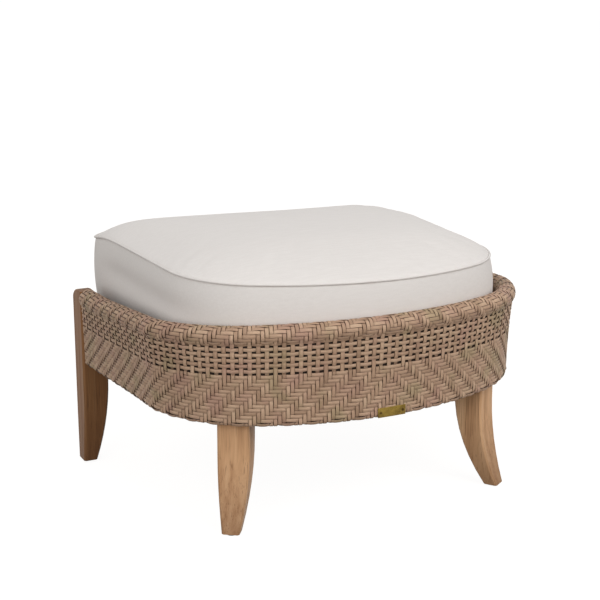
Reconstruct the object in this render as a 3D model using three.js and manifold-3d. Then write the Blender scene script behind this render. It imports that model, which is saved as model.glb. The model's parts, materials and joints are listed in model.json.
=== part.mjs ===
// Outdoor ottoman: a bow-fronted woven resin band on an aluminium frame, four teak legs, an interlaced strap deck
// and a loose box cushion. Millimetres, +Z up. The part is drawn with y = 0 at the middle of the band's front and
// y growing to the open back, and the whole group is then moved so that its origin is under the middle of its plan.
import * as THREE from "three";
import { mergeVertices } from "three/addons/utils/BufferGeometryUtils.js";
import Module from "manifold-3d";

const wasm = await Module();
wasm.setup();

// Clearances
const seatGap = 0.3; // between pieces that touch on the real ottoman
const slideGap = 0.4; // between pieces that slide in each other
const cutOverrun = 5; // how far a cutting tool runs past the face that it cuts

// The deck's top, where the cushion rests: the other heights are taken from it
const deckHeight = 290;

// The band's plan, from the middle of the front to the back leg: bow, corner, side, then a straight run
const bowRadius = 557;
const bowTurn = 22.3; // degrees
const cornerRadius = 223;
const cornerTurn = 50.4;
const sideRadius = 65;
const sideTurn = 12.35;
const legFaceY = 467; // front face of the back legs, where the band ends

// The band's heights and face
const rimRiseFront = 68; // above the deck
const rimRiseBack = 43;
const rimLevelFrom = 380; // y from which the rim runs level to the back
const hemDropFront = 105; // below the deck
const hemDropBack = 97;
const faceLean = 11; // how far the woven face leans out at the height of the rim
const weaveThickness = 4;
const hemRound = 4;
const skirtShare = 0.51; // share of the band's height that is close twill

// Rim roll and the aluminium tube inside it
const rimTubeRadius = 12.5;
const rollThickness = 4;
const rollInset = 5; // the roll's middle lies this far inside the hem line
const rollSides = 12;
const slotFromTurn = -6; // degrees from straight down towards the inside, where the frame's uprights pass
const slotToTurn = 42;

// Open weave under the roll
const netColumns = 44;
const netRows = 5;
const netStake = 12; // width of an upright strand pair between two gaps
const netBar = 4.6; // height of a level strand between two gaps
const weaveTopShare = 0.82; // share of the band's height at which the open weave meets the roll

// Hem tube, uprights and seat rail
const hemTubeRadius = 8;
const hemTubeSides = 8;
const uprightWidth = 18;
const uprightThickness = 5;
const uprightInset = 9; // middle of an upright inside the hem line
const railHeight = 22;
const railThickness = 14;

// Deck of interlaced straps
const strapWidth = 45;
const strapThickness = 2;
const strapTurnDown = 16; // the end that turns down over a rail
const strapEndGap = 0.8; // between that end and the rail's outer side
const longStrapCount = 6; // from front to back
const longStrapPitch = 80;
const crossStrapCount = 4; // from side to side
const crossStrapPitch = 90;
const crossStrapFirst = 150; // y of the foremost
const strapRamp = 12; // run over which a strap climbs from under to over
const strapColumns = 2;
const strapLevelRun = 2; // how far past a crossing a strap stays up
const sideUprightPitches = [-0.5, 1.5]; // the side uprights, in strap pitches behind the foremost cross strap

// Front legs: sabre legs turned out at the corners
const frontFootX = 254;
const frontFootY = 63;
const frontLegTurn = 35; // degrees between straight ahead and the leg's outer face
const frontLegWidth = 54;
const frontFootWidth = 29;
const frontWidthTaper = 130; // height at which the width starts to narrow
const frontOuterTop = -18; // outer face against the middle of the foot
const frontOuterFoot = 12.5;
const frontOuterTaper = 150;
const frontInnerTop = -70;
const frontInnerFoot = -12.5;
const frontInnerTaper = 175;
const legChamfer = 3;
const legSteps = 7; // rings down a leg's taper
const shoulderGap = 1; // between the band's hem and the leg's shoulder under it

// Back legs: boards that stand against the band's ends
const backLegOuterX = 375;
const backLegInnerX = 327;
const backFootInnerX = 352;
const backFootOuterX = 377;
const backLegRearY = 517;
const backFootFrontY = 475;
const backFootRearY = 508;
const backLegTaper = 160; // height at which the leg starts to narrow
const backLegRise = 39; // of the leg's top above the deck
const backTopInnerX = 350; // above the deck the inner side draws in to here
const backTopRound = 16; // height of the rounding at the rear of the top
const backTopRoundDepth = 18;
const backTopSteps = 3; // rings between the deck's height and the rounding
const roundShares = [0.3, 0.55, 0.75, 0.9, 1]; // of the rounding's height

// Leg fastenings
const plateThickness = 4;
const plateClearance = 0.5; // between the plate and the hem tube in front of it
const hemRoom = 6; // the plate starts this far above the leg's shoulder
const hemSamples = 240; // points looked at along the hem
const frontPlateWidth = 40;
const endPlateThickness = 5;
const endPlateWidth = 24;
const boltRadius = 3;
const boltHeadRadius = 6;
const boltHeadHeight = 4.5;
const boltLength = 34;
const fastenerSides = 8;
const boltDrops = [66, 43]; // below the deck

// Back rail and the woven apron round it
const backRailThickness = 20;
const backRailHeight = 46;
const apronThickness = 3.5;
const railTabHeight = 60;
const railTabThickness = 4;
const railTabDepth = 40;
const screwRadius = 2.5;
const screwHeadRadius = 4.5;
const screwHeadHeight = 2.5;
const screwLength = 24;
const screwSpread = 17; // half the height between a tab's two screws

// Foot glides
const glideRadius = 9;
const glideThickness = 2;
const glideStemRadius = 3;
const glideStemLength = 14;
const glideSides = 16;

// Brass plate on the middle of the skirt
const brassLength = 52;
const brassHeight = 17;
const brassThickness = 1.2;
const brassFromHem = 0.5;
const brassShift = 8; // the plate's middle lies this far to the right of the band's middle
const brassStandoff = 0.6; // from the woven face
const brassSteps = 4;

// Cushion
const cushionFrontY = 28;
const cushionBowRadius = 497;
const cushionBowTurn = 24.3;
const cushionCornerRadius = 160;
const cushionCornerTurn = 63.2;
const cushionBackY = 570;
const cushionBackRadius = 36;
const cushionEar = 9.5; // how far a back corner is drawn out
const cushionEarReach = 80;
const cushionSide = 120.2; // from the base to the upper seam
const cushionCrown = 37;
const cushionCrownPower = 3.6; // how square the crown's rise is
const cushionCrownRound = 0.82; // how steeply the crown leaves the seam
const cushionPuff = 5; // how far the sides stand out between the two welts
const coverThickness = 3;
const coreGap = 0.6;
const weltRadius = 2.6;
const weltSides = 6;
const cushionEdge = 4; // the base's edge is eased by this much
const cushionSteps = [5, 6, 3]; // along the bow, the corner and the side
const cushionBackSteps = 4;
const cushionBackSpans = 6;
const sideShares = [0, 0.25, 0.5, 0.75, 1]; // of the side's height
const crownShares = [0.97, 0.9, 0.8, 0.66, 0.5, 0.32, 0.14]; // of the way from the middle to the seam
const coreSideShares = [0, 0.5, 1];
const coreCrownShares = [0.9, 0.7, 0.45, 0.2];

// Zip in the back of the cushion
const zipLength = 400;
const zipSetIn = 1; // the tape lies this far inside the cushion's back
const zipEndRun = 24; // from the end of the slot to the middle of the closed slider
const zipHeight = 9;
const zipTapeThickness = 1;
const zipTeethHeight = 4;
const zipTeethThickness = 1.2;
const sliderLength = 12;
const sliderWidth = 8;
const sliderThickness = 3;
const pullLength = 22;
const pullThickness = 1.6;

// Worked out from the sizes above
const rimHeightFront = deckHeight + rimRiseFront;
const rimHeightBack = deckHeight + rimRiseBack;
const hemHeightFront = deckHeight - hemDropFront;
const hemHeightBack = deckHeight - hemDropBack;
const boltHeights = boltDrops.map((drop) => deckHeight - drop);
const backLegTop = deckHeight + backLegRise;
const cushionBase = deckHeight + seatGap;
const cushionWeltHeight = cushionBase + cushionSide;
const rollRadius = rimTubeRadius + slideGap + rollThickness;
const railTop = deckHeight - 2 * (strapThickness + seatGap);
const railBase = railTop - railHeight;
const hemTubeInset = weaveThickness + seatGap + hemTubeRadius;
const hemTubeRise = weaveThickness + seatGap + hemTubeRadius;
const hemDepth = hemTubeInset + hemTubeRadius;
const railOuter = uprightInset + uprightThickness / 2 + seatGap;
const railInner = railOuter + railThickness;
const legBase = glideThickness + seatGap;

const halvings = 40; // steps of a search by halving
const mergeReach = 1e-4; // corners closer than this are one

const degrees = THREE.MathUtils.degToRad;
const mix = THREE.MathUtils.lerp;

// Materials
const finish = (color, roughness, metalness = 0) => new THREE.MeshStandardMaterial({ color, roughness, metalness });
const wicker = finish(0xa58c78, 0.6);
const teak = finish(0xb49170, 0.55);
const aluminium = finish(0x8b8378, 0.45, 0.8);
const webbing = finish(0x4a443d, 0.8);
const fabric = finish(0xdedad6, 0.9);
const foam = finish(0xe8e0c8, 0.95);
const steel = finish(0xb8b8b8, 0.35, 1);
const brass = finish(0x96824a, 0.4, 1);
const nylon = finish(0x2c2a28, 0.6);
const zipPlastic = finish(0xcfcbc6, 0.5);

// A solid from rings of points: each ring is a closed loop, and the two ends are capped with the triangles of
// the matching outline. A closed loft joins its last ring to its first.
function loft(rings, outlines, closed = false) {
  const size = rings[0].length;
  const points = rings.flat().flatMap((p) => [p.x, p.y, p.z]);
  const faces = [];
  const bands = closed ? rings.length : rings.length - 1;
  for (let i = 0; i < bands; i++) {
    const a = i * size;
    const b = ((i + 1) % rings.length) * size;
    for (let j = 0; j < size; j++) {
      const k = (j + 1) % size;
      faces.push(a + j, a + k, b + k, a + j, b + k, b + j);
    }
  }
  if (!closed) {
    const last = (rings.length - 1) * size;
    const cap = (outline) => THREE.ShapeUtils.triangulateShape(outline, []);
    const turned = THREE.ShapeUtils.isClockWise(outlines[0]);
    for (const [a, b, c] of cap(outlines[0])) faces.push(...(turned ? [a, b, c] : [a, c, b]));
    for (const [a, b, c] of cap(outlines[1])) {
      faces.push(...(turned ? [last + a, last + c, last + b] : [last + a, last + b, last + c]));
    }
  }
  const geometry = new THREE.BufferGeometry();
  geometry.setAttribute("position", new THREE.Float32BufferAttribute(points, 3));
  geometry.setIndex(faces);
  return facingOut(geometry);
}

// Turns a closed surface so that its faces point outwards.
function facingOut(geometry) {
  const position = geometry.attributes.position;
  const index = geometry.index.array;
  const corner = [new THREE.Vector3(), new THREE.Vector3(), new THREE.Vector3()];
  let volume = 0;
  for (let i = 0; i < index.length; i += 3) {
    corner.forEach((p, j) => p.fromBufferAttribute(position, index[i + j]));
    volume += corner[0].dot(corner[1].cross(corner[2]));
  }
  if (volume < 0) {
    for (let i = 0; i < index.length; i += 3) [index[i + 1], index[i + 2]] = [index[i + 2], index[i + 1]];
  }
  geometry.computeVertexNormals();
  return geometry;
}

function solidOf(geometry) {
  const bare = geometry.clone();
  bare.deleteAttribute("normal");
  bare.deleteAttribute("uv");
  const merged = mergeVertices(bare, mergeReach);
  const mesh = new wasm.Mesh({
    numProp: 3,
    vertProperties: merged.attributes.position.array,
    triVerts: new Uint32Array(merged.index.array),
  });
  return new wasm.Manifold(mesh);
}

function geometryOf(solid) {
  const mesh = solid.getMesh();
  const geometry = new THREE.BufferGeometry();
  geometry.setAttribute("position", new THREE.BufferAttribute(mesh.vertProperties, mesh.numProp));
  geometry.setIndex(new THREE.BufferAttribute(mesh.triVerts, 1));
  geometry.computeVertexNormals();
  return geometry;
}

const cut = (body, ...tools) =>
  geometryOf(tools.reduce((left, tool) => left.subtract(solidOf(tool)), solidOf(body)));
const join = (body, ...more) =>
  geometryOf(more.reduce((whole, piece) => whole.add(solidOf(piece)), solidOf(body)));

const ottoman = new THREE.Group();

function add(name, geometry, material, parent = ottoman) {
  const mesh = new THREE.Mesh(geometry, material);
  mesh.name = name;
  parent.add(mesh);
  return mesh;
}

// A plan line made of arcs that turn left one after the other, then a straight run at the last heading.
// place(s) gives the point and the heading at a length s along it; the left half mirrors the right one.
class PlanLine {
  constructor(startY, arcs, endY, square = true) {
    this.square = square;
    this.parts = [];
    let x = 0;
    let y = startY;
    let heading = 0;
    let length = 0;
    for (const [radius, turn] of arcs) {
      const next = heading + degrees(turn);
      this.parts.push({ x, y, heading, radius, from: length });
      x += radius * (Math.sin(next) - Math.sin(heading));
      y += radius * (Math.cos(heading) - Math.cos(next));
      length += radius * degrees(turn);
      heading = next;
    }
    this.parts.push({ x, y, heading, radius: Infinity, from: length });
    this.half = length + (endY - y) / Math.sin(heading);
  }

  headingAt(s) {
    const part = this.parts.findLast((candidate) => s >= candidate.from);
    return part.heading + (s - part.from) / part.radius;
  }

  place(s) {
    const side = Math.sign(s) || 1;
    const along = Math.min(Math.abs(s), this.half);
    const part = this.parts.findLast((candidate) => along >= candidate.from);
    const run = along - part.from;
    const straight = part.radius === Infinity;
    const heading = this.headingAt(along);
    const x = straight
      ? part.x + run * Math.cos(heading)
      : part.x + part.radius * (Math.sin(heading) - Math.sin(part.heading));
    const y = straight
      ? part.y + run * Math.sin(heading)
      : part.y + part.radius * (Math.cos(part.heading) - Math.cos(heading));
    // Where the line is cut square to y, at its two ends, an offset moves along x alone.
    const atEnd = this.square && along >= this.half;
    const outX = atEnd ? 1 / Math.sin(heading) : Math.sin(heading);
    const outY = atEnd ? 0 : -Math.cos(heading);
    return { x: side * x, y, outX: side * outX, outY, heading: side * heading };
  }

  // Lengths along the line, close together where it bends: counts are the steps on each part of one half.
  stations(counts) {
    const half = [0];
    this.parts.forEach((part, i) => {
      const to = i + 1 < this.parts.length ? this.parts[i + 1].from : this.half;
      for (let k = 1; k <= counts[i]; k++) half.push(mix(part.from, to, k / counts[i]));
    });
    return [...half.slice(1).reverse().map((s) => -s), ...half];
  }

  offset(s, out) {
    const p = this.place(s);
    return new THREE.Vector2(p.x + p.outX * out, p.y + p.outY * out);
  }
}

const bandArcs = [[bowRadius, bowTurn], [cornerRadius, cornerTurn], [sideRadius, sideTurn]];
const band = new PlanLine(0, bandArcs, legFaceY - seatGap);
const tubeLine = new PlanLine(0, bandArcs, legFaceY - endPlateThickness - 2 * seatGap);
const bandSteps = [9, 6, 2, 3];

const rimHeight = (y) => mix(rimHeightFront, rimHeightBack, Math.min(1, y / rimLevelFrom));
const hemHeight = (y) => mix(hemHeightFront, hemHeightBack, y / legFaceY);
const heightAt = (y, share) => mix(hemHeight(y), rimHeight(y), share);
const leanAt = (share) => faceLean * share * share;

// Sweeps a section along a plan line: section(y) gives the points [out, height] at that y.
function sweep(line, stations, section) {
  const outline = (s) => section(line.place(s).y).map(([out, z]) => new THREE.Vector2(out, z));
  const rings = stations.map((s) =>
    section(line.place(s).y).map(([out, z]) => {
      const p = line.offset(s, out);
      return new THREE.Vector3(p.x, p.y, z);
    }),
  );
  return loft(rings, [outline(stations[0]), outline(stations.at(-1))]);
}

function circle(radius, sides, out, z) {
  return Array.from({ length: sides }, (_, i) => {
    const turn = (2 * Math.PI * (i + 0.5)) / sides;
    return [out + radius * Math.cos(turn), z + radius * Math.sin(turn)];
  });
}

// Frame tubes and rails that follow the band
function rimTube() {
  return sweep(band, band.stations(bandSteps), (y) =>
    circle(rimTubeRadius, rollSides / 2, -rollInset, rimHeight(y) - rollRadius),
  );
}

function hemTube() {
  return sweep(tubeLine, tubeLine.stations(bandSteps), (y) =>
    circle(hemTubeRadius, hemTubeSides, -hemTubeInset, hemHeight(y) + hemTubeRise),
  );
}

function seatRail() {
  return sweep(tubeLine, tubeLine.stations(bandSteps), () => [
    [-railOuter, railBase],
    [-railOuter, railTop],
    [-railInner, railTop],
    [-railInner, railBase],
  ]);
}

// The woven roll over the rim tube, open underneath where the uprights come through
function rimRoll() {
  const turns = Array.from({ length: rollSides / 2 }, (_, i) => {
    const from = degrees(slotToTurn);
    const to = 2 * Math.PI + degrees(slotFromTurn);
    return mix(from, to, i / (rollSides / 2 - 1));
  });
  const bore = (rimTubeRadius + slideGap) / Math.cos(Math.PI / (rollSides / 2));
  return sweep(band, band.stations(bandSteps), (y) => {
    const middle = rimHeight(y) - rollRadius;
    const arc = (radius, list) =>
      list.map((turn) => [-rollInset - radius * Math.sin(turn), middle - radius * Math.cos(turn)]);
    const fine = Array.from({ length: rollSides - 2 }, (_, i) =>
      mix(turns[0], turns.at(-1), i / (rollSides - 3)),
    );
    return [...arc(rollRadius, fine), ...arc(bore, turns.toReversed())];
  });
}

// The close twill skirt, turned in under the hem tube
function skirt() {
  return sweep(band, band.stations(bandSteps), (y) => {
    const at = (share, inset) => [leanAt(share) - inset, heightAt(y, share)];
    const hem = hemHeight(y);
    return [
      [-hemRound, hem],
      [-hemRound * (1 - Math.SQRT1_2), hem + hemRound * (1 - Math.SQRT1_2)],
      [leanAt(hemRound / (rimHeight(y) - hem)), hem + hemRound],
      at(skirtShare / 2, 0),
      at(skirtShare, 0),
      at(skirtShare, weaveThickness),
      at(skirtShare / 2, weaveThickness),
      [-weaveThickness, hem + weaveThickness],
      [-hemDepth, hem + weaveThickness],
      [-hemDepth, hem],
    ];
  });
}

// The open weave: a curved net of rectangular gaps, meshed cell by cell on its two faces
function openWeave() {
  const length = 2 * band.half;
  const pitch = length / netColumns;
  const lines = [-band.half];
  for (let i = 0; i < netColumns; i++) {
    const middle = -band.half + pitch * (i + 0.5);
    lines.push(middle - (pitch - netStake) / 2, middle + (pitch - netStake) / 2);
  }
  lines.push(band.half);
  const levels = 2 * netRows + 2;
  const point = (column, level, inset) => {
    const { y } = band.place(lines[column]);
    const bottom = heightAt(y, skirtShare) + seatGap;
    const besideRoll = leanAt(weaveTopShare) - weaveThickness + rollInset;
    const top = rimHeight(y) - rollRadius - Math.sqrt(rollRadius ** 2 - besideRoll ** 2) - seatGap;
    const open = (top - bottom - netBar * (netRows + 1)) / netRows;
    const z = bottom + Math.floor(level / 2) * (netBar + open) + (level % 2) * netBar;
    const share = (z - hemHeight(y)) / (rimHeight(y) - hemHeight(y));
    const p = band.offset(lines[column], leanAt(share) - inset);
    return [p.x, p.y, z];
  };
  const points = [];
  for (let side = 0; side < 2; side++) {
    for (let level = 0; level < levels; level++) {
      for (let column = 0; column < lines.length; column++) {
        points.push(...point(column, level, side * weaveThickness));
      }
    }
  }
  const at = (column, level, side) => (side * levels + level) * lines.length + column;
  const isOpen = (column, level) => column % 2 === 1 && level % 2 === 1;
  const isSolid = (column, level) =>
    column >= 0 && level >= 0 && column < lines.length - 1 && level < levels - 1 && !isOpen(column, level);
  const faces = [];
  const quad = (a, b, c, d) => faces.push(a, b, c, a, c, d);
  for (let column = 0; column < lines.length - 1; column++) {
    for (let level = 0; level < levels - 1; level++) {
      if (!isSolid(column, level)) continue;
      const corner = (dc, dl, side) => at(column + dc, level + dl, side);
      quad(corner(0, 0, 0), corner(1, 0, 0), corner(1, 1, 0), corner(0, 1, 0));
      quad(corner(0, 0, 1), corner(0, 1, 1), corner(1, 1, 1), corner(1, 0, 1));
      const wall = (c0, l0, c1, l1) =>
        quad(corner(c0, l0, 0), corner(c0, l0, 1), corner(c1, l1, 1), corner(c1, l1, 0));
      if (!isSolid(column, level - 1)) wall(0, 0, 1, 0);
      if (!isSolid(column + 1, level)) wall(1, 0, 1, 1);
      if (!isSolid(column, level + 1)) wall(1, 1, 0, 1);
      if (!isSolid(column - 1, level)) wall(0, 1, 0, 0);
    }
  }
  const geometry = new THREE.BufferGeometry();
  geometry.setAttribute("position", new THREE.Float32BufferAttribute(points, 3));
  geometry.setIndex(faces);
  const used = mergeVertices(geometry.toNonIndexed(), mergeReach);
  return facingOut(used);
}

// A flat bar that stands on the hem tube, passes behind the seat rail and ends under the rim tube
function upright(s) {
  const { x, y, heading } = band.place(s);
  const foot = hemHeight(y) + hemTubeRise + hemTubeRadius + seatGap;
  const head = rimHeight(y) - rollRadius - rimTubeRadius - seatGap;
  const bar = new THREE.BoxGeometry(uprightWidth, uprightThickness, head - foot);
  bar.translate(0, uprightInset, (foot + head) / 2);
  bar.rotateZ(heading);
  bar.translate(x, y, 0);
  return bar;
}

// A block with eased edges along its length, as a loft: ring(z) gives its four sides at a height
function easedBlock(heights, ring, chamfer) {
  const rings = heights.map((z) => {
    const { left, right, front, back } = ring(z);
    return [
      [left + chamfer, front],
      [right - chamfer, front],
      [right, front + chamfer],
      [right, back - chamfer],
      [right - chamfer, back],
      [left + chamfer, back],
      [left, back - chamfer],
      [left, front + chamfer],
    ].map(([x, y]) => new THREE.Vector3(x, y, z));
  });
  const flat = (list) => list.map((p) => new THREE.Vector2(p.x, p.y));
  return loft(rings, [flat(rings[0]), flat(rings.at(-1))]);
}

// How far a tapered side has moved at height z: nothing above the taper, all of it at the foot
const taper = (z, from) => (z >= from ? 0 : ((from - z) / from) ** 2);
const steps = (from, to, count) => Array.from({ length: count + 1 }, (_, i) => mix(from, to, i / count));

// A round bar along z with a wider head at its far end, such as a bolt that points down
function headed(radius, length, headRadius, headHeight, sides) {
  const outline = [
    new THREE.Vector2(0, -length),
    new THREE.Vector2(radius, -length),
    new THREE.Vector2(radius, 0),
    new THREE.Vector2(headRadius, 0),
    new THREE.Vector2(headRadius, headHeight),
    new THREE.Vector2(0, headHeight),
  ];
  return new THREE.LatheGeometry(outline, sides).rotateX(Math.PI / 2);
}

// A hole along z for a fastener, from its mouth at the origin down to a depth
function bore(radius, depth) {
  const hole = new THREE.CylinderGeometry(radius + slideGap, radius + slideGap, depth + cutOverrun, fastenerSides);
  return hole.rotateX(Math.PI / 2).translate(0, 0, (cutOverrun - depth) / 2);
}

// The length along a line at which the line, offset outwards, has a given x or y on its right half
function lengthAt(line, out, axis, value) {
  let low = 0;
  let high = line.half;
  for (let i = 0; i < halvings; i++) {
    const middle = (low + high) / 2;
    if (line.offset(middle, out)[axis] < value) low = middle;
    else high = middle;
  }
  return (low + high) / 2;
}

const longStrapPlaces = Array.from(
  { length: longStrapCount },
  (_, i) => (i - (longStrapCount - 1) / 2) * longStrapPitch,
);
const crossStrapPlaces = Array.from(
  { length: crossStrapCount },
  (_, i) => crossStrapFirst + i * crossStrapPitch,
);

// The uprights stand where they miss the straps' ends: midway between two straps
function uprightPlaces() {
  const besideMiddle = lengthAt(band, -uprightInset, "x", longStrapPitch);
  const sides = sideUprightPitches.map((pitches) =>
    lengthAt(band, -uprightInset, "y", crossStrapFirst + pitches * crossStrapPitch),
  );
  return [besideMiddle, ...sides];
}

function addFrame() {
  add("rim_tube", rimTube(), aluminium);
  add("hem_tube", hemTube(), aluminium);
  add("seat_rail", seatRail(), aluminium);
  uprightPlaces().forEach((s, i) => {
    add(`upright_left_${i + 1}`, upright(-s), aluminium);
    add(`upright_right_${i + 1}`, upright(s), aluminium);
  });
}

function addBand() {
  add("rim_roll", rimRoll(), wicker);
  add("open_weave", openWeave(), wicker);
  add("twill_skirt", skirt(), wicker);
}

// The blank brass plate, bent to the band, at the line where the twill turns round
function addBrassPlate() {
  const low = hemHeight(0) + brassFromHem;
  const section = [
    [brassStandoff, low],
    [brassStandoff + brassThickness, low],
    [brassStandoff + brassThickness, low + brassHeight],
    [brassStandoff, low + brassHeight],
  ];
  const stations = steps(brassShift - brassLength / 2, brassShift + brassLength / 2, brassSteps);
  add("brass_plate", sweep(band, stations, () => section), brass);
}

// Front leg, drawn with its outer face towards -y and the middle of its foot at the origin
const frontOuter = (z) => -mix(frontOuterTop, frontOuterFoot, taper(z, frontOuterTaper));
const frontInner = (z) => -mix(frontInnerTop, frontInnerFoot, taper(z, frontInnerTaper));
const frontHalf = (z) => mix(frontLegWidth, frontFootWidth, taper(z, frontWidthTaper)) / 2;

// How deep the hem reaches in behind the band, seen by a front leg: the plate stands just clear of it
function hemBehindLeg() {
  const along = new THREE.Vector2(Math.cos(degrees(frontLegTurn)), Math.sin(degrees(frontLegTurn)));
  const inward = new THREE.Vector2(-along.y, along.x);
  const foot = new THREE.Vector2(frontFootX, frontFootY);
  const depths = steps(0, band.half, hemSamples)
    .map((s) => band.offset(s, -hemDepth).sub(foot))
    .filter((p) => Math.abs(p.dot(along)) <= frontLegWidth / 2 + seatGap)
    .map((p) => p.dot(inward));
  return Math.max(...depths);
}

const plateFront = hemBehindLeg() + plateClearance;
const tongueFront = plateFront + plateThickness + seatGap;
const frontLegTop = railBase - seatGap;
const frontShoulder = hemHeight(frontFootY) - shoulderGap;

function frontLeg() {
  const ring = (z) => ({ left: -frontHalf(z), right: frontHalf(z), front: frontOuter(z), back: frontInner(z) });
  const heights = [legBase, ...steps(legBase, frontInnerTaper, legSteps).slice(1), frontLegTop];
  const body = easedBlock(heights, ring, legChamfer);
  const notchDepth = tongueFront - frontOuterTop + cutOverrun;
  const notchHeight = frontLegTop - frontShoulder + cutOverrun;
  const notch = new THREE.BoxGeometry(frontLegWidth + cutOverrun, notchDepth, notchHeight);
  notch.translate(0, tongueFront - notchDepth / 2, frontShoulder + notchHeight / 2);
  const boltHoles = boltHeights.map((z) => frontBore(z));
  const glideHole = bore(glideStemRadius, glideStemLength).rotateX(Math.PI).translate(0, 0, legBase);
  return cut(body, notch, glideHole, ...boltHoles);
}

// Bolts come from the inner face and end in the plate
const frontBoltLength = -frontInnerTop - plateFront;
const frontBore = (z) =>
  bore(boltRadius, frontBoltLength + cutOverrun).rotateX(-Math.PI / 2).translate(0, -frontInnerTop, z);

function frontPlate() {
  const low = frontShoulder + hemRoom;
  const high = railBase - seatGap;
  const plate = new THREE.BoxGeometry(frontPlateWidth, plateThickness, high - low);
  plate.translate(0, plateFront + plateThickness / 2, (low + high) / 2);
  return cut(plate, ...boltHeights.map((z) => frontBore(z)));
}

function headedBolt(length) {
  return headed(boltRadius, length, boltHeadRadius, boltHeadHeight, fastenerSides);
}

// A glide: a disc under the foot with a stem in its bore
function glide() {
  return headed(glideStemRadius, glideStemLength, glideRadius, glideThickness, glideSides).rotateX(Math.PI);
}

function addFrontLeg(side, name) {
  const leg = new THREE.Group();
  leg.position.set(side * frontFootX, frontFootY, 0);
  leg.rotation.z = side * degrees(frontLegTurn);
  add(`front_${name}_leg`, frontLeg(), teak, leg);
  add(`front_${name}_leg_plate`, frontPlate(), aluminium, leg);
  boltHeights.forEach((z, i) => {
    const bolt = headedBolt(frontBoltLength).rotateX(-Math.PI / 2).translate(0, seatGap - frontInnerTop, z);
    add(`front_${name}_leg_bolt_${i + 1}`, bolt, steel, leg);
  });
  add(`front_${name}_glide`, glide().translate(0, 0, glideThickness), nylon, leg);
  ottoman.add(leg);
}

// Back leg on the right, in place; the left one is its mirror image
const backRing = (z) => {
  const t = taper(z, backLegTaper);
  const above = Math.max(0, (z - backLegTop + backTopRound) / backTopRound);
  const roundIn = backTopRoundDepth * (1 - Math.sqrt(1 - Math.min(1, above) ** 2));
  const overDeck = Math.max(0, (z - deckHeight) / backLegRise);
  return {
    left: mix(mix(backLegInnerX, backFootInnerX, t), backTopInnerX, overDeck ** 2),
    right: mix(backLegOuterX, backFootOuterX, t),
    front: mix(legFaceY, backFootFrontY, t),
    back: mix(backLegRearY, backFootRearY, t) - roundIn,
  };
};
const backFootX = (backFootInnerX + backFootOuterX) / 2;
const backFootY = (backFootFrontY + backFootRearY) / 2;
const endPlateFront = legFaceY - seatGap - endPlateThickness;
const endPlateOuter = band.offset(lengthAt(band, 0, "y", endPlateFront), -weaveThickness).x - seatGap;
const endPlateX = endPlateOuter - endPlateWidth / 2;
const endBore = (z) =>
  bore(boltRadius, boltLength + cutOverrun).rotateX(Math.PI / 2).translate(endPlateX, endPlateFront, z);
const backRailY = (legFaceY + backLegRearY) / 2;
const tabMiddle = railTop - railTabHeight / 2;
const tabInner = backLegInnerX - seatGap - railTabThickness;
const screwPlaces = [-1, 1].map((end) => ({
  y: backRailY + end * (backRailThickness / 2 + seatGap + screwHeadRadius),
  z: tabMiddle + end * screwSpread,
}));
const screwBore = ({ y, z }) =>
  bore(screwRadius, screwLength + cutOverrun).rotateY(-Math.PI / 2).translate(tabInner, y, z);

function backLeg() {
  const roundFrom = backLegTop - backTopRound;
  const roundHeights = roundShares.map((share) => mix(roundFrom, backLegTop, share));
  const heights = [
    ...steps(legBase, backLegTaper, legSteps),
    ...steps(deckHeight, roundFrom, backTopSteps),
    ...roundHeights,
  ];
  const body = easedBlock(heights, backRing, legChamfer);
  const stemHole = bore(glideStemRadius, glideStemLength).rotateX(Math.PI);
  stemHole.translate(backFootX, backFootY, legBase);
  return cut(body, stemHole, ...boltHeights.map(endBore), ...screwPlaces.map(screwBore));
}

function endPlate() {
  const low = hemHeight(legFaceY) + weaveThickness + seatGap;
  const plate = new THREE.BoxGeometry(endPlateWidth, endPlateThickness, railTop - low);
  plate.translate(endPlateX, endPlateFront + endPlateThickness / 2, (low + railTop) / 2);
  return cut(plate, ...boltHeights.map(endBore));
}

function railTab() {
  const tab = new THREE.BoxGeometry(railTabThickness, railTabDepth, railTabHeight);
  tab.translate(tabInner + railTabThickness / 2, backRailY, tabMiddle);
  return cut(tab, ...screwPlaces.map(screwBore));
}

// The same solid on the other side of the ottoman's middle plane
function mirrored(geometry) {
  const copy = geometry.index ? geometry.clone() : mergeVertices(geometry.clone(), mergeReach);
  copy.scale(-1, 1, 1);
  return facingOut(copy);
}

const bare = (geometry) => {
  geometry.deleteAttribute("normal");
  geometry.deleteAttribute("uv");
  return mergeVertices(geometry, mergeReach);
};

function addBackLeg(name, onSide) {
  add(`back_${name}_leg`, onSide(backLeg()), teak);
  add(`back_${name}_leg_plate`, onSide(endPlate()), aluminium);
  add(`back_${name}_rail_tab`, onSide(railTab()), aluminium);
  boltHeights.forEach((z, i) => {
    const bolt = bare(headedBolt(boltLength)).rotateX(Math.PI / 2).translate(endPlateX, endPlateFront - seatGap, z);
    add(`back_${name}_leg_bolt_${i + 1}`, onSide(bolt), steel);
  });
  screwPlaces.forEach(({ y, z }, i) => {
    const screw = bare(headed(screwRadius, screwLength, screwHeadRadius, screwHeadHeight, fastenerSides));
    screw.rotateY(-Math.PI / 2).translate(tabInner - seatGap, y, z);
    add(`back_${name}_rail_screw_${i + 1}`, onSide(screw), steel);
  });
  add(`back_${name}_glide`, onSide(bare(glide()).translate(backFootX, backFootY, glideThickness)), nylon);
}

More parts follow.
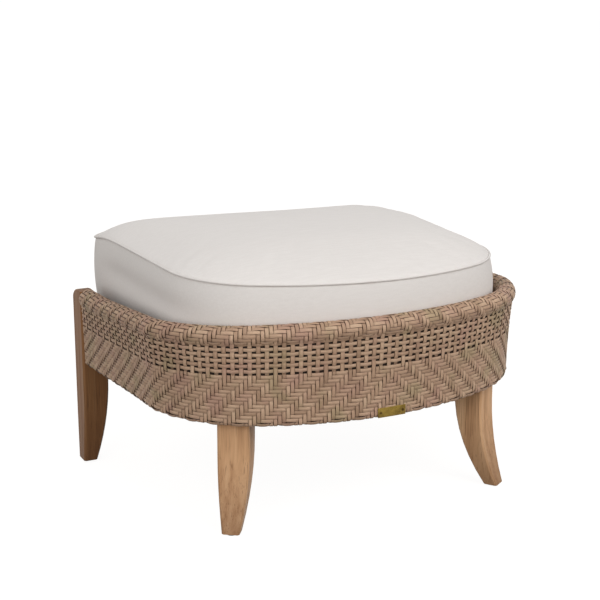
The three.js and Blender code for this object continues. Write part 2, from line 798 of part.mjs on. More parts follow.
// The back rail between the tabs, and the woven apron that wraps its two faces and its underside
function addBackRail() {
  const length = 2 * (tabInner - seatGap);
  const rail = new THREE.BoxGeometry(length, backRailThickness, backRailHeight);
  add("back_rail", rail.translate(0, backRailY, railTop - backRailHeight / 2), aluminium);
  const inside = backRailThickness / 2 + strapEndGap + strapThickness + seatGap;
  const outside = inside + apronThickness;
  const base = railTop - backRailHeight - seatGap;
  const outline = new THREE.Shape();
  const corners = [
    [-outside, railTop],
    [-outside, base - apronThickness],
    [outside, base - apronThickness],
    [outside, railTop],
    [inside, railTop],
    [inside, base],
    [-inside, base],
    [-inside, railTop],
  ];
  corners.forEach(([y, z], i) => (i ? outline.lineTo(y, z) : outline.moveTo(y, z)));
  const apronLength = length - 2 * (screwHeadHeight + 2 * seatGap);
  const apron = new THREE.ExtrudeGeometry(outline, { depth: apronLength, bevelEnabled: false, steps: 1 });
  apron.rotateX(Math.PI / 2).rotateZ(Math.PI / 2).translate(-apronLength / 2, backRailY, 0);
  add("back_apron", apron, wicker);
}

// A sheet as a solid: rows of points on its upper side and the matching rows on its lower side
function sheetSolid(upper, lower) {
  const rows = upper.length;
  const columns = upper[0].length;
  const points = [...upper.flat(), ...lower.flat()].flatMap((p) => [p.x, p.y, p.z]);
  const at = (row, column, side) => (side * rows + row) * columns + column;
  const faces = [];
  const quad = (a, b, c, d) => faces.push(a, b, c, a, c, d);
  for (let r = 0; r < rows - 1; r++) {
    for (let c = 0; c < columns - 1; c++) {
      quad(at(r, c, 0), at(r, c + 1, 0), at(r + 1, c + 1, 0), at(r + 1, c, 0));
      quad(at(r, c, 1), at(r + 1, c, 1), at(r + 1, c + 1, 1), at(r, c + 1, 1));
    }
    quad(at(r, 0, 0), at(r + 1, 0, 0), at(r + 1, 0, 1), at(r, 0, 1));
    quad(at(r + 1, columns - 1, 0), at(r, columns - 1, 0), at(r, columns - 1, 1), at(r + 1, columns - 1, 1));
  }
  for (let c = 0; c < columns - 1; c++) {
    quad(at(0, c + 1, 0), at(0, c, 0), at(0, c, 1), at(0, c + 1, 1));
    quad(at(rows - 1, c, 0), at(rows - 1, c + 1, 0), at(rows - 1, c + 1, 1), at(rows - 1, c, 1));
  }
  const geometry = new THREE.BufferGeometry();
  geometry.setAttribute("position", new THREE.Float32BufferAttribute(points, 3));
  geometry.setIndex(faces);
  return facingOut(geometry);
}

// One strap: reach(v) gives the two ends of the straight run over the rails at a place v across the strap, and
// over lists the middles of the straps that it crosses above. spot turns (along, across) into x and y.
function strap(across, reach, over, spot) {
  const low = railTop + seatGap;
  const rise = strapThickness + seatGap;
  const columns = steps(across - strapWidth / 2, across + strapWidth / 2, strapColumns);
  const upper = [];
  const lower = [];
  const row = (place, top, bottom) => {
    upper.push(columns.map((v) => top(v, reach(v), place)));
    lower.push(columns.map((v) => bottom(v, reach(v), place)));
  };
  const tip = railTop - strapTurnDown;
  const end = (side) => {
    const sign = side ? 1 : -1;
    const outer = (v, ends) => ends[side] + sign * strapThickness;
    return [
      () => row(0, (v, e) => spot(outer(v, e), v, tip), (v, e) => spot(e[side], v, tip)),
      () => row(0, (v, e) => spot(outer(v, e), v, low + strapThickness), (v, e) => spot(e[side], v, low)),
    ];
  };
  end(0).forEach((makeRow) => makeRow());
  const half = strapWidth / 2 + strapLevelRun;
  for (const middle of over) {
    const runs = [[-half - strapRamp, 0], [-half, rise], [half, rise], [half + strapRamp, 0]];
    for (const [run, lift] of runs) {
      const z = low + lift;
      row(middle + run, (v, e, place) => spot(place, v, z + strapThickness), (v, e, place) => spot(place, v, z));
    }
  }
  end(1).reverse().forEach((makeRow) => makeRow());
  return sheetSolid(upper, lower);
}

function addDeck() {
  const outside = -railOuter + strapEndGap;
  const backEnd = backRailY + backRailThickness / 2 + strapEndGap;
  const frontEnd = (x) => tubeLine.offset(lengthAt(tubeLine, outside, "x", Math.abs(x)), outside).y;
  const sideEnd = (y) => tubeLine.offset(lengthAt(tubeLine, outside, "y", y), outside).x;
  longStrapPlaces.forEach((x, i) => {
    const over = crossStrapPlaces.filter((_, j) => (i + j) % 2 === 0);
    const spot = (along, across, z) => new THREE.Vector3(across, along, z);
    add(`deck_strap_long_${i + 1}`, strap(x, (v) => [frontEnd(v), backEnd], over, spot), webbing);
  });
  crossStrapPlaces.forEach((y, j) => {
    const over = longStrapPlaces.filter((_, i) => (i + j) % 2 === 1);
    const spot = (along, across, z) => new THREE.Vector3(along, across, z);
    add(`deck_strap_cross_${j + 1}`, strap(y, (v) => [-sideEnd(v), sideEnd(v)], over, spot), webbing);
  });
}

// The cushion's plan, one closed loop: bow, corners and sides, then the back corners and a straight back
const cushionArcs = [[cushionBowRadius, cushionBowTurn], [cushionCornerRadius, cushionCornerTurn]];
const cushionSideHeading = degrees(cushionBowTurn + cushionCornerTurn);
const cushionSideEnd = cushionBackY - cushionBackRadius * (1 + Math.cos(cushionSideHeading));
const cushionLine = new PlanLine(cushionFrontY, cushionArcs, cushionSideEnd, false);

function cushionPlan(out) {
  const side = cushionLine.stations(cushionSteps).map((s) => cushionLine.offset(s, out));
  const last = cushionLine.offset(cushionLine.half, 0);
  const middle = new THREE.Vector2(last.x - cushionBackRadius * Math.sin(cushionSideHeading), 0);
  middle.y = last.y + cushionBackRadius * Math.cos(cushionSideHeading);
  const corner = steps(cushionSideHeading, Math.PI, cushionBackSteps)
    .slice(1)
    .map((turn) => {
      const reach = cushionBackRadius + out;
      return new THREE.Vector2(middle.x + reach * Math.sin(turn), middle.y - reach * Math.cos(turn));
    });
  const end = corner.at(-1);
  const back = steps(end.x, -end.x, cushionBackSpans)
    .slice(1, -1)
    .map((x) => new THREE.Vector2(x, end.y));
  const mirror = corner.toReversed().map((p) => new THREE.Vector2(-p.x, p.y));
  return [...side, ...corner, ...back, ...mirror].map((p) => p.add(earAt(p, last)));
}

// How a back corner is drawn out, at a plan point near it
function earAt(p, sideEnd) {
  const away = Math.hypot(Math.abs(p.x) - sideEnd.x, p.y - cushionBackY);
  const pull = cushionEar * Math.SQRT1_2 * Math.exp(-((away / cushionEarReach) ** 2));
  return new THREE.Vector2(Math.sign(p.x) * pull, pull);
}

const cushionMiddle = new THREE.Vector2(0, (cushionFrontY + cushionBackY) / 2);

// The cushion's form, drawn in by a shell's thickness: flat base, puffed sides, a seam and a crowned top
function cushionForm(inset, crownShares, sideShares) {
  const base = cushionBase + inset;
  const seam = cushionWeltHeight - inset;
  const rings = [];
  const flat = (out, z) => cushionPlan(out).map((p) => new THREE.Vector3(p.x, p.y, z));
  rings.push(flat(-inset - cushionEdge, base));
  for (const share of sideShares) {
    const puff = cushionPuff * (1 - (2 * share - 1) ** 2);
    const z = mix(base + cushionEdge, seam, share);
    rings.push(flat(puff - inset, z));
  }
  const edge = cushionPlan(-inset);
  for (const share of crownShares) {
    rings.push(
      edge.map((p) => {
        const q = cushionMiddle.clone().lerp(p, share);
        const rise = (1 - share ** cushionCrownPower) ** cushionCrownRound;
        return new THREE.Vector3(q.x, q.y, seam + cushionCrown * rise);
      }),
    );
  }
  const outline = (ring) => ring.map((p) => new THREE.Vector2(p.x, p.y));
  return loft(rings, [outline(rings[0]), outline(rings.at(-1))]);
}

// A round cord sewn along the cushion's edge
function weltRing(height) {
  const rings = cushionPlan(weltRadius + seatGap);
  const inner = cushionPlan(0);
  const loops = rings.map((p, i) => {
    const outward = p.clone().sub(inner[i]).normalize();
    return Array.from({ length: weltSides }, (_, k) => {
      const turn = (2 * Math.PI * k) / weltSides;
      const q = p.clone().addScaledVector(outward, weltRadius * Math.cos(turn));
      return new THREE.Vector3(q.x, q.y, height + weltRadius * Math.sin(turn));
    });
  });
  return loft(loops, [], true);
}

const zipHeightMiddle = (cushionBase + cushionWeltHeight) / 2;
const zipBack = cushionBackY + cushionPuff;
const tapeBack = zipBack - zipSetIn;

function zipTape() {
  const tapeHeight = zipHeight - 2 * seatGap;
  const tape = new THREE.BoxGeometry(zipLength - 2 * seatGap, zipTapeThickness, tapeHeight);
  tape.translate(0, tapeBack - zipTapeThickness / 2, zipHeightMiddle);
  const teethThickness = zipTeethThickness + seatGap;
  const teeth = new THREE.BoxGeometry(zipLength - 2 * sliderLength, teethThickness, zipTeethHeight);
  teeth.translate(0, tapeBack + zipTeethThickness - teethThickness / 2, zipHeightMiddle);
  return join(tape, teeth);
}

function zipSlider() {
  const depth = slideGap + zipTeethThickness + slideGap + sliderThickness;
  const block = new THREE.BoxGeometry(sliderLength, depth - slideGap, sliderWidth);
  block.translate(sliderRest, tapeBack + (depth + slideGap) / 2, zipHeightMiddle);
  const grooveDepth = zipTeethThickness + slideGap;
  const groove = new THREE.BoxGeometry(sliderLength + 2 * cutOverrun, 2 * grooveDepth, zipTeethHeight + 2 * slideGap);
  return cut(block, groove.translate(sliderRest, tapeBack, zipHeightMiddle));
}

function zipPull() {
  const hang = tapeBack + 2 * slideGap + zipTeethThickness + sliderThickness + slideGap;
  const tab = new THREE.BoxGeometry(sliderWidth, pullThickness, pullLength);
  return tab.translate(sliderRest, hang + pullThickness / 2, zipHeightMiddle + sliderWidth / 2 - pullLength / 2);
}

const sliderRest = zipLength / 2 - zipEndRun;

function addCushion() {
  const outer = cushionForm(0, crownShares, sideShares);
  const inner = cushionForm(coverThickness, coreCrownShares, coreSideShares);
  const slotDepth = 2 * (coverThickness + cutOverrun);
  const slot = new THREE.BoxGeometry(zipLength, slotDepth, zipHeight).translate(0, zipBack, zipHeightMiddle);
  add("cushion_cover", cut(outer, inner, slot), fabric);
  add("cushion_core", cushionForm(coverThickness + coreGap, coreCrownShares, coreSideShares), foam);
  add("cushion_welt_top", weltRing(cushionWeltHeight), fabric);
  add("cushion_welt_bottom", weltRing(cushionBase + cushionEdge), fabric);
  add("zip_tape", zipTape(), zipPlastic);
  add("zip_slider", zipSlider(), steel);
  add("zip_pull", zipPull(), steel);
}

addFrame();
addBand();
addBrassPlate();
addFrontLeg(-1, "left");
addFrontLeg(1, "right");
addBackLeg("left", mirrored);
addBackLeg("right", (geometry) => geometry);
addBackRail();
addDeck();
addCushion();

// The origin goes under the middle of the plan: from the front of the roll to the rear of the cushion's zip
const bounds = new THREE.Box3().setFromObject(ottoman);
ottoman.position.y = -(bounds.min.y + bounds.max.y) / 2;

export default ottoman;
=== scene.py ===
"""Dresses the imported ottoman: woven band, teak legs, strap deck, cushion with welts and a zip."""

import json
import logging
import math
from dataclasses import dataclass, field
from enum import Enum

import bmesh
import bpy
import numpy as np
from mathutils import Euler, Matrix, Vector
from mathutils.kdtree import KDTree

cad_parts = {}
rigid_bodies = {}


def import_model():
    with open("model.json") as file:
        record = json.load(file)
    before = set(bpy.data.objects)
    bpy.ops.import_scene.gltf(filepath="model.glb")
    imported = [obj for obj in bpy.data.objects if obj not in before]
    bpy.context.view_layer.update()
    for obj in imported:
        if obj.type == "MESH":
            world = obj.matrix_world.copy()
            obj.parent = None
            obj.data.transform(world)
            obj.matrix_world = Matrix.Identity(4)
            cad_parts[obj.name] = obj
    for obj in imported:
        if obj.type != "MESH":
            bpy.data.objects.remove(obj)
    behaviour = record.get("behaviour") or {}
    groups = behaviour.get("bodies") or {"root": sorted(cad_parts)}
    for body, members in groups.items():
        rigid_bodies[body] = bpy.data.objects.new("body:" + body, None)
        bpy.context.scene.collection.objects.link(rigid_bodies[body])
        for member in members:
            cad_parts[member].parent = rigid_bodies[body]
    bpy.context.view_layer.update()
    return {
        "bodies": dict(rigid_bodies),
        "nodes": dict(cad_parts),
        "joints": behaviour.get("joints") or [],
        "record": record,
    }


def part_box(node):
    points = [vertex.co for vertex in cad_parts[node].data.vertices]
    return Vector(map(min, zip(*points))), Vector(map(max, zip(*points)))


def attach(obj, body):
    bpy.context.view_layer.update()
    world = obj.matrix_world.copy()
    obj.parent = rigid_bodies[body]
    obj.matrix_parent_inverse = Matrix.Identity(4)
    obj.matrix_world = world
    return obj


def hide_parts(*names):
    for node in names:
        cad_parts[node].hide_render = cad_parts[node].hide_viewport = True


LOG = logging.getLogger("ottoman")
PHOTO_WIDTH = 600
SIDES = ("left", "right")
BACK_LEGS = ("back_left_leg", "back_right_leg")
WHITE = (1.0, 1.0, 1.0, 1.0)
TINY = 1e-9
WELD = 1e-5
HEXAGON = math.pi / 3
SHARP_BEND = math.radians(50.0)

Object = bpy.types.Object
Material = bpy.types.Material
Colour = tuple[float, float, float, float]
Spot = tuple[float, float, float]
Points = np.ndarray


def tint(red: float, green: float, blue: float) -> Colour:
    """A colour given as it looks on a screen.

    Args:
        red: its red, 0 to 255.
        green: its green, 0 to 255.
        blue: its blue, 0 to 255.

    Returns:
        The colour in linear values, with full alpha.
    """

    def linear(value: float) -> float:
        """One channel, from screen to linear."""
        share = value / 255
        return share / 12.92 if share <= 0.04045 else ((share + 0.055) / 1.055) ** 2.4

    return (linear(red), linear(green), linear(blue), 1.0)


# Node trees


class Graph:
    """A node tree that is built one node at a time."""

    def __init__(self, tree: bpy.types.NodeTree) -> None:
        """Args:
            tree: the tree that the nodes go into.
        """
        self.tree = tree

    def feed(self, socket: bpy.types.NodeSocket, value: object) -> None:
        """Links a wire to a socket, or sets the socket's own value.

        Args:
            socket: the input socket.
            value: a Wire, or what the socket holds.
        """
        if isinstance(value, Wire):
            self.tree.links.new(value.socket, socket)
        else:
            socket.default_value = value

    def node(
        self, kind: str, settings: dict | None = None, inputs: dict | None = None, output: int = 0
    ) -> "Wire":
        """Adds a node.

        Args:
            kind: the node's type.
            settings: what is set on the node itself; "stops" is a ramp's list of (place, colour).
            inputs: values or wires by socket name or number.
            output: the number of the output that is wanted.

        Returns:
            The wire from that output.
        """
        made = self.tree.nodes.new(kind)
        for key, value in (settings or {}).items():
            if key == "stops":
                self._set_stops(made.color_ramp, value)
            else:
                setattr(made, key, value)
        for key, value in (inputs or {}).items():
            self.feed(made.inputs[key], value)
        return Wire(self, made.outputs[output]) if made.outputs else Wire(self, None)

    @staticmethod
    def _set_stops(ramp: bpy.types.ColorRamp, stops: list[tuple[float, Colour]]) -> None:
        """Sets a ramp's stops.

        Args:
            ramp: the ramp.
            stops: places and colours, in rising order.
        """
        while len(ramp.elements) < len(stops):
            ramp.elements.new(1.0)
        for element, (place, colour) in zip(ramp.elements, stops):
            element.position = place
            element.color = colour


class Wire:
    """An output socket; arithmetic on it adds Math nodes."""

    def __init__(self, graph: Graph, socket: bpy.types.NodeSocket | None) -> None:
        """Args:
            graph: the graph that the socket is in.
            socket: the output socket.
        """
        self.graph = graph
        self.socket = socket

    def beside(self, output: int | str) -> "Wire":
        """Another output of the same node."""
        return Wire(self.graph, self.socket.node.outputs[output])

    def math(self, operation: str, *values: object) -> "Wire":
        """A Math node on these values, in order."""
        inputs = dict(enumerate(values))
        return self.graph.node("ShaderNodeMath", {"operation": operation}, inputs)

    def __add__(self, other: object) -> "Wire":
        """self + other."""
        return self.math("ADD", self, other)

    def __radd__(self, other: object) -> "Wire":
        """other + self."""
        return self.math("ADD", other, self)

    def __sub__(self, other: object) -> "Wire":
        """self - other."""
        return self.math("SUBTRACT", self, other)

    def __rsub__(self, other: object) -> "Wire":
        """other - self."""
        return self.math("SUBTRACT", other, self)

    def __mul__(self, other: object) -> "Wire":
        """self * other."""
        return self.math("MULTIPLY", self, other)

    def __rmul__(self, other: object) -> "Wire":
        """other * self."""
        return self.math("MULTIPLY", other, self)

    def __truediv__(self, other: object) -> "Wire":
        """self / other."""
        return self.math("DIVIDE", self, other)

    def __rtruediv__(self, other: object) -> "Wire":
        """other / self."""
        return self.math("DIVIDE", other, self)

    def __abs__(self) -> "Wire":
        """The size of self."""
        return self.math("ABSOLUTE", self)

    def sine(self) -> "Wire":
        """The sine of self, in radians."""
        return self.math("SINE", self)

    def clamped(self) -> "Wire":
        """self kept from 0 to 1."""
        return self.graph.node("ShaderNodeClamp", None, {0: self})


class Paint(Graph):
    """A material made of nodes."""

    def __init__(self, name: str) -> None:
        """Args:
            name: the material's name.
        """
        self.material = bpy.data.materials.new(name)
        self.material.use_nodes = True
        super().__init__(self.material.node_tree)
        self.tree.nodes.clear()

    def place(self) -> Wire:
        """Object coordinates."""
        return self.node("ShaderNodeTexCoord", None, None, 3)

    def part(self, vector: Wire, number: int = 0) -> Wire:
        """One of a vector's three numbers."""
        return self.node("ShaderNodeSeparateXYZ", None, {0: vector}, number)

    def mapped(self, vector: Wire, scale: Spot) -> Wire:
        """Scaled coordinates."""
        return self.node("ShaderNodeMapping", None, {0: vector, 3: scale})

    def noise(
        self, vector: Wire, scale: float, detail: float = 2.0, roughness: float = 0.5
    ) -> Wire:
        """A noise from 0 to 1."""
        inputs = {"Vector": vector, "Scale": scale, "Detail": detail, "Roughness": roughness}
        return self.node("ShaderNodeTexNoise", None, inputs)

    def attribute(self, name: str) -> Wire:
        """A number kept on the mesh."""
        return self.node("ShaderNodeAttribute", {"attribute_name": name}, None, 2)

    def ramp(self, value: Wire, stops: list[tuple[float, Colour]]) -> Wire:
        """A colour ramp."""
        return self.node("ShaderNodeValToRGB", {"stops": stops}, {0: value})

    def blend(self, share: object, first: object, second: object) -> Wire:
        """Two colours mixed."""
        inputs = {0: share, 6: first, 7: second}
        return self.node("ShaderNodeMix", {"data_type": "RGBA"}, inputs, 2)

    def range(self, value: Wire, low: float, high: float, to_low: float, to_high: float) -> Wire:
        """A value moved from one range to another, clamped."""
        inputs = {0: value, 1: low, 2: high, 3: to_low, 4: to_high}
        return self.node("ShaderNodeMapRange", None, inputs)

    def bump(self, height: Wire, strength: float, distance: float) -> Wire:
        """A Bump node's normal."""
        inputs = {"Height": height, "Strength": strength, "Distance": distance}
        return self.node("ShaderNodeBump", None, inputs)

    def finish(
        self, colour: object, roughness: object, normal: Wire, **sockets: object
    ) -> Material:
        """Ends the material with a Principled shader.

        Args:
            colour: the base colour.
            roughness: the roughness.
            normal: a bumped normal.
            sockets: other sockets, with _ for a space.

        Returns:
            The finished material.
        """
        inputs = {"Base Color": colour, "Roughness": roughness, "Normal": normal}
        inputs.update({key.replace("_", " "): value for key, value in sockets.items()})
        shader = self.node("ShaderNodeBsdfPrincipled", None, inputs)
        self.node("ShaderNodeOutputMaterial", None, {0: shader})
        return self.material


# Finishes


@dataclass(frozen=True)
class WovenResin:
    """Flat resin strands: taupe, each a little different, with fine ribs along them."""

    light: Colour = tint(226, 194, 163)
    middle: Colour = tint(196, 161, 134)
    dark: Colour = tint(156, 126, 101)
    rosy: Colour = tint(190, 148, 131)
    olive: Colour = tint(168, 152, 114)
    # The colour of the painted shade: in rib grooves, under crossings, along strand edges and over
    # the band's sides.
    painted_shade: Colour = tint(52, 34, 22)
    streaks: float = 55.0
    patches: float = 24.0
    rosy_from: tuple[float, float] = (0.55, 0.72)
    rosy_share: float = 0.55
    olive_from: tuple[float, float] = (0.45, 0.3)
    olive_share: float = 0.5
    ribs: float = 9.0
    rib_wander: float = 2.0
    wanders: float = 90.0
    rib_shade: float = 0.24
    rib_depth: float = 0.0004
    # Painted shade over the band's sides: where it starts, where it is full, and how much it
    # darkens, sinks and widens the other shade.
    side_shade_from: float = 0.26
    side_shade_to: float = 0.36
    side_shade_depth: float = 0.15
    side_shade_sinks: float = 0.26
    side_shade_edges: float = 0.04
    sunk_from: tuple[float, float] = (0.4, -0.55)
    sunk_shade: float = 0.95
    edge_from: tuple[float, float] = (0.74, 0.98)
    edge_shade: float = 0.84
    roughness: float = 0.52
    shine: float = 0.28

    def make(self) -> Material:
        """Reads tone, lift and across from the strands; paints shade in the rib grooves, under
        crossings, along strand edges and most on the band's sides.

        Returns:
            The material.
        """
        paint = Paint("woven_resin")
        place = paint.place()
        tone = paint.attribute("tone")
        lift = paint.attribute("lift")
        across = paint.attribute("across")
        stops = [(0.0, self.dark), (0.5, self.middle), (1.0, self.light)]
        base = paint.ramp(tone * 0.5 + paint.noise(place, self.streaks, 3.0) * 0.5, stops)
        patch = paint.noise(place, self.patches, 1.0)
        rosy = paint.range(patch, *self.rosy_from, 0.0, self.rosy_share)
        olive = paint.range(patch, *self.olive_from, 0.0, self.olive_share)
        base = paint.blend(olive, paint.blend(rosy, base, self.rosy), self.olive)
        wander = paint.noise(place, self.wanders, 1.0) * self.rib_wander
        ribs = (across * self.ribs + wander).sine()
        # Painted shade in the grooves between the ribs.
        base = paint.blend(paint.range(ribs, -1.0, 1.0, self.rib_shade, 0.0), base, self.painted_shade)
        # Painted shade: the band darkens towards its sides, and there the shade under crossings and
        # at strand edges is deeper.
        wear_and_shade = paint.range(abs(paint.part(place)), self.side_shade_from, self.side_shade_to, 0.0, 1.0)
        depth = lift - wear_and_shade * self.side_shade_sinks
        # Painted shade where a strand passes under another.
        sunk = paint.range(depth, *self.sunk_from, 0.0, self.sunk_shade)
        side = abs(across) + wear_and_shade * self.side_shade_edges
        # Painted shade along the strands' edges.
        edge = paint.range(side, *self.edge_from, 0.0, self.edge_shade)
        base = paint.blend((sunk + edge + wear_and_shade * self.side_shade_depth).clamped(), base, self.painted_shade)
        normal = paint.bump(ribs, 0.5, self.rib_depth)
        return paint.finish(base, self.roughness, normal, Specular_IOR_Level=self.shine)


@dataclass(frozen=True)
class Teak:
    """Oiled teak with straight grain up the leg, with painted shade darkening it towards the foot.
    """

    name: str = "teak"
    pale: Colour = tint(231, 189, 147)
    middle: Colour = tint(208, 163, 122)
    brown: Colour = tint(168, 123, 86)
    pore: Colour = tint(98, 64, 38)
    foot_shade: float = 0.55
    foot_shade_height: float = 0.12
    wander_scale: Spot = (6.0, 6.0, 1.5)
    band_scale: Spot = (70.0, 70.0, 2.2)
    fine_scale: Spot = (420.0, 420.0, 9.0)
    pore_scale: Spot = (620.0, 620.0, 11.0)
    band_share: float = 0.62
    fine_share: float = 0.2
    wander_share: float = 0.18
    pore_from: tuple[float, float] = (0.58, 0.72)
    pore_share: float = 0.55
    grain_depth: float = 0.0004
    dull: float = 0.62
    oiled: float = 0.48
    shine: float = 0.2

    def make(self) -> Material:
        """Lays broad bands, fine grain and pores over one another.

        Returns:
            The material.
        """
        paint = Paint(self.name)
        place = paint.place()
        wander = paint.noise(paint.mapped(place, self.wander_scale), 1.0, 2.0)
        bands = paint.noise(paint.mapped(place, self.band_scale), 1.0, 4.0, 0.6)
        fine = paint.noise(paint.mapped(place, self.fine_scale), 1.0, 3.0, 0.7)
        pores = paint.noise(paint.mapped(place, self.pore_scale), 1.0, 2.0)
        stops = [(0.33, self.brown), (0.5, self.middle), (0.68, self.pale)]
        mixed = bands * self.band_share + fine * self.fine_share + wander * self.wander_share
        base = paint.ramp(mixed, stops)
        open_pores = paint.range(pores, *self.pore_from, 0.0, self.pore_share)
        # Painted shade: darker towards the foot, where the floor's shade falls.
        low = paint.range(paint.part(place, 2), self.foot_shade_height, 0.0, 0.0, self.foot_shade)
        base = paint.blend(low, paint.blend(open_pores, base, self.pore), self.pore)
        rough = paint.range(bands, 0.3, 0.7, self.dull, self.oiled)
        normal = paint.bump(fine, 0.25, self.grain_depth)
        return paint.finish(base, rough, normal, Specular_IOR_Level=self.shine)


@dataclass(frozen=True)
class CushionCloth:
    """Off-white outdoor cloth in a plain weave."""

    colour: Colour = tint(230, 225, 221)
    shade: Colour = tint(214, 208, 203)
    shade_share: float = 0.5
    weave: float = 1500.0
    slub_scale: Spot = (30.0, 260.0, 260.0)
    slub_share: float = 0.5
    depth: float = 0.0004
    roughness: float = 0.92
    sheen: float = 0.15

    def make(self) -> Material:
        """Mixes a fine weave with longer slubs.

        Returns:
            The material.
        """
        paint = Paint("cushion_cloth")
        place = paint.place()
        weave = paint.noise(place, self.weave, 2.0, 0.6)
        slub = paint.noise(paint.mapped(place, self.slub_scale), 1.0, 3.0)
        mixed = weave + slub * self.slub_share
        shaded = paint.range(mixed, 0.55, 0.95, 0.0, self.shade_share)
        base = paint.blend(shaded, self.colour, self.shade)
        normal = paint.bump(weave, 0.25, self.depth)
        return paint.finish(base, self.roughness, normal, Sheen_Weight=self.sheen)


@dataclass(frozen=True)
class Webbing:
    """Dark webbing with its threads crossing, in a plain weave."""

    high: Colour = tint(98, 86, 75)
    low: Colour = tint(48, 40, 34)
    thread: float = 0.0022
    worn_scale: float = 40.0
    worn_share: float = 0.6
    depth: float = 0.0004
    roughness: float = 0.85
    sheen: float = 0.1

    def make(self) -> Material:
        """Crosses two waves of threads, paints shade on the low ones and wears them a little.

        Returns:
            The material.
        """
        paint = Paint("deck_webbing")
        place = paint.place()
        along = paint.part(place)
        turn = math.pi / self.thread
        weave = (along * turn).sine() * (along.beside("Y") * turn).sine()
        wear_and_shade = paint.noise(place, self.worn_scale, 3.0)
        # Painted shade: the low threads are darker than the raised ones; the noise adds real wear.
        raised = paint.range(weave + wear_and_shade * self.worn_share, -0.8, 1.2, 0.0, 1.0)
        base = paint.blend(raised, self.low, self.high)
        normal = paint.bump(weave, 0.6, self.depth)
        return paint.finish(base, self.roughness, normal, Sheen_Weight=self.sheen)


@dataclass(frozen=True)
class PlainFinish:
    """A finish of one colour with fine mottling."""

    name: str
    colour: Colour
    wear_and_shade: Colour
    roughness: float
    metal: float = 0.0
    grain: float = 300.0
    depth: float = 0.0002
    spread: float = 0.06
    clouds: float = 20.0

    def make(self) -> Material:
        """Mottles the colour with specks and with clouds of a coarser grain.

        Returns:
            The material.
        """
        paint = Paint(self.name)
        place = paint.place()
        speck = paint.noise(place, self.grain, 3.0, 0.6)
        cloud = paint.noise(place, self.grain / self.clouds, 2.0)
        mottled = paint.range(speck * 0.5 + cloud * 0.5, 0.4, 0.65, 0.0, 1.0)
        base = paint.blend(mottled, self.colour, self.wear_and_shade)
        smooth, dull = self.roughness - self.spread, self.roughness + self.spread
        rough = paint.range(cloud, 0.3, 0.7, smooth, dull)
        return paint.finish(base, rough, paint.bump(speck, 0.3, self.depth), Metallic=self.metal)


@dataclass(frozen=True)
class BareMetal(PlainFinish):
    """Bare metal with a very fine grain."""

    metal: float = 1.0
    grain: float = 900.0
    depth: float = 0.0001


class Slot(Enum):
    """The record's material slots."""

    RESIN = "woven_resin"
    TEAK = "teak"
    WEBBING = "deck_webbing"
    CLOTH = "cushion_fabric"
    FOAM = "foam"
    BRASS = "aged_brass"
    ZIP = "zip_tape"
    STEEL = "stainless"
    NYLON = "glide_nylon"
    FRAME = "frame_aluminium"


# Painted shade: a darker copy of the teak for the back legs, which stand in the seat's shade.
SHADED_TEAK = Teak(
    "teak_back", tint(145, 106, 70), tint(127, 87, 53), tint(101, 65, 38), tint(65, 38, 20), 0.25,
)
# A dark sheet behind the weave: painted shade standing in for the shade inside the band.
BAND_SHADE_SHEET = PlainFinish("band_backing", tint(44, 31, 22), tint(34, 24, 17), 0.9)
DARK_BRASS = BareMetal("dark_brass", tint(92, 72, 34), tint(58, 44, 20), 0.42)


def make_finishes() -> dict[Slot, Material]:
    """Makes the finish of each slot.

    Returns:
        One material for each slot.
    """
    finishes = {
        Slot.RESIN: WovenResin(),
        Slot.TEAK: Teak(),
        Slot.CLOTH: CushionCloth(),
        Slot.WEBBING: Webbing(),
        Slot.FOAM: PlainFinish("foam", tint(226, 214, 180), tint(206, 190, 150), 0.95),
        Slot.BRASS: BareMetal("aged_brass", tint(145, 122, 60), tint(78, 60, 30), 0.34),
        Slot.ZIP: PlainFinish("zip_tape", tint(214, 209, 203), tint(196, 190, 184), 0.75),
        Slot.STEEL: BareMetal(
            "stainless", tint(178, 178, 176), tint(150, 150, 150), 0.3, grain=500.0
        ),
        Slot.NYLON: PlainFinish("glide_nylon", tint(38, 36, 34), tint(52, 50, 48), 0.55),
        Slot.FRAME: PlainFinish("frame_aluminium", tint(92, 78, 64), tint(80, 67, 54), 0.5),
    }
    return {slot: finish.make() for slot, finish in finishes.items()}


# The band's plan and heights, as in the solids


def ramped(values: Points, start: float, length: float) -> Points:
    """How far values are past a start, as a share of a length, from 0 to 1."""
    return np.clip((values - start) / length, 0.0, 1.0)


def bell(away: Points, reach: float) -> Points:
    """A soft bump, 1 at its middle, that fades out over its reach."""
    return np.exp(-((away / reach) ** 2))


def spaced(points: Points, count: int) -> Points:
    """Points evenly spaced along a line.

    Args:
        points: the line's own points, in plan or section.
        count: how many to return.

    Returns:
        The new points.
    """
    steps = np.linalg.norm(np.diff(points, axis=0), axis=1)
    length = np.concatenate([[0.0], np.cumsum(steps)])
    wanted = np.linspace(0.0, length[-1], count)
    return np.column_stack([np.interp(wanted, length, values) for values in points.T])


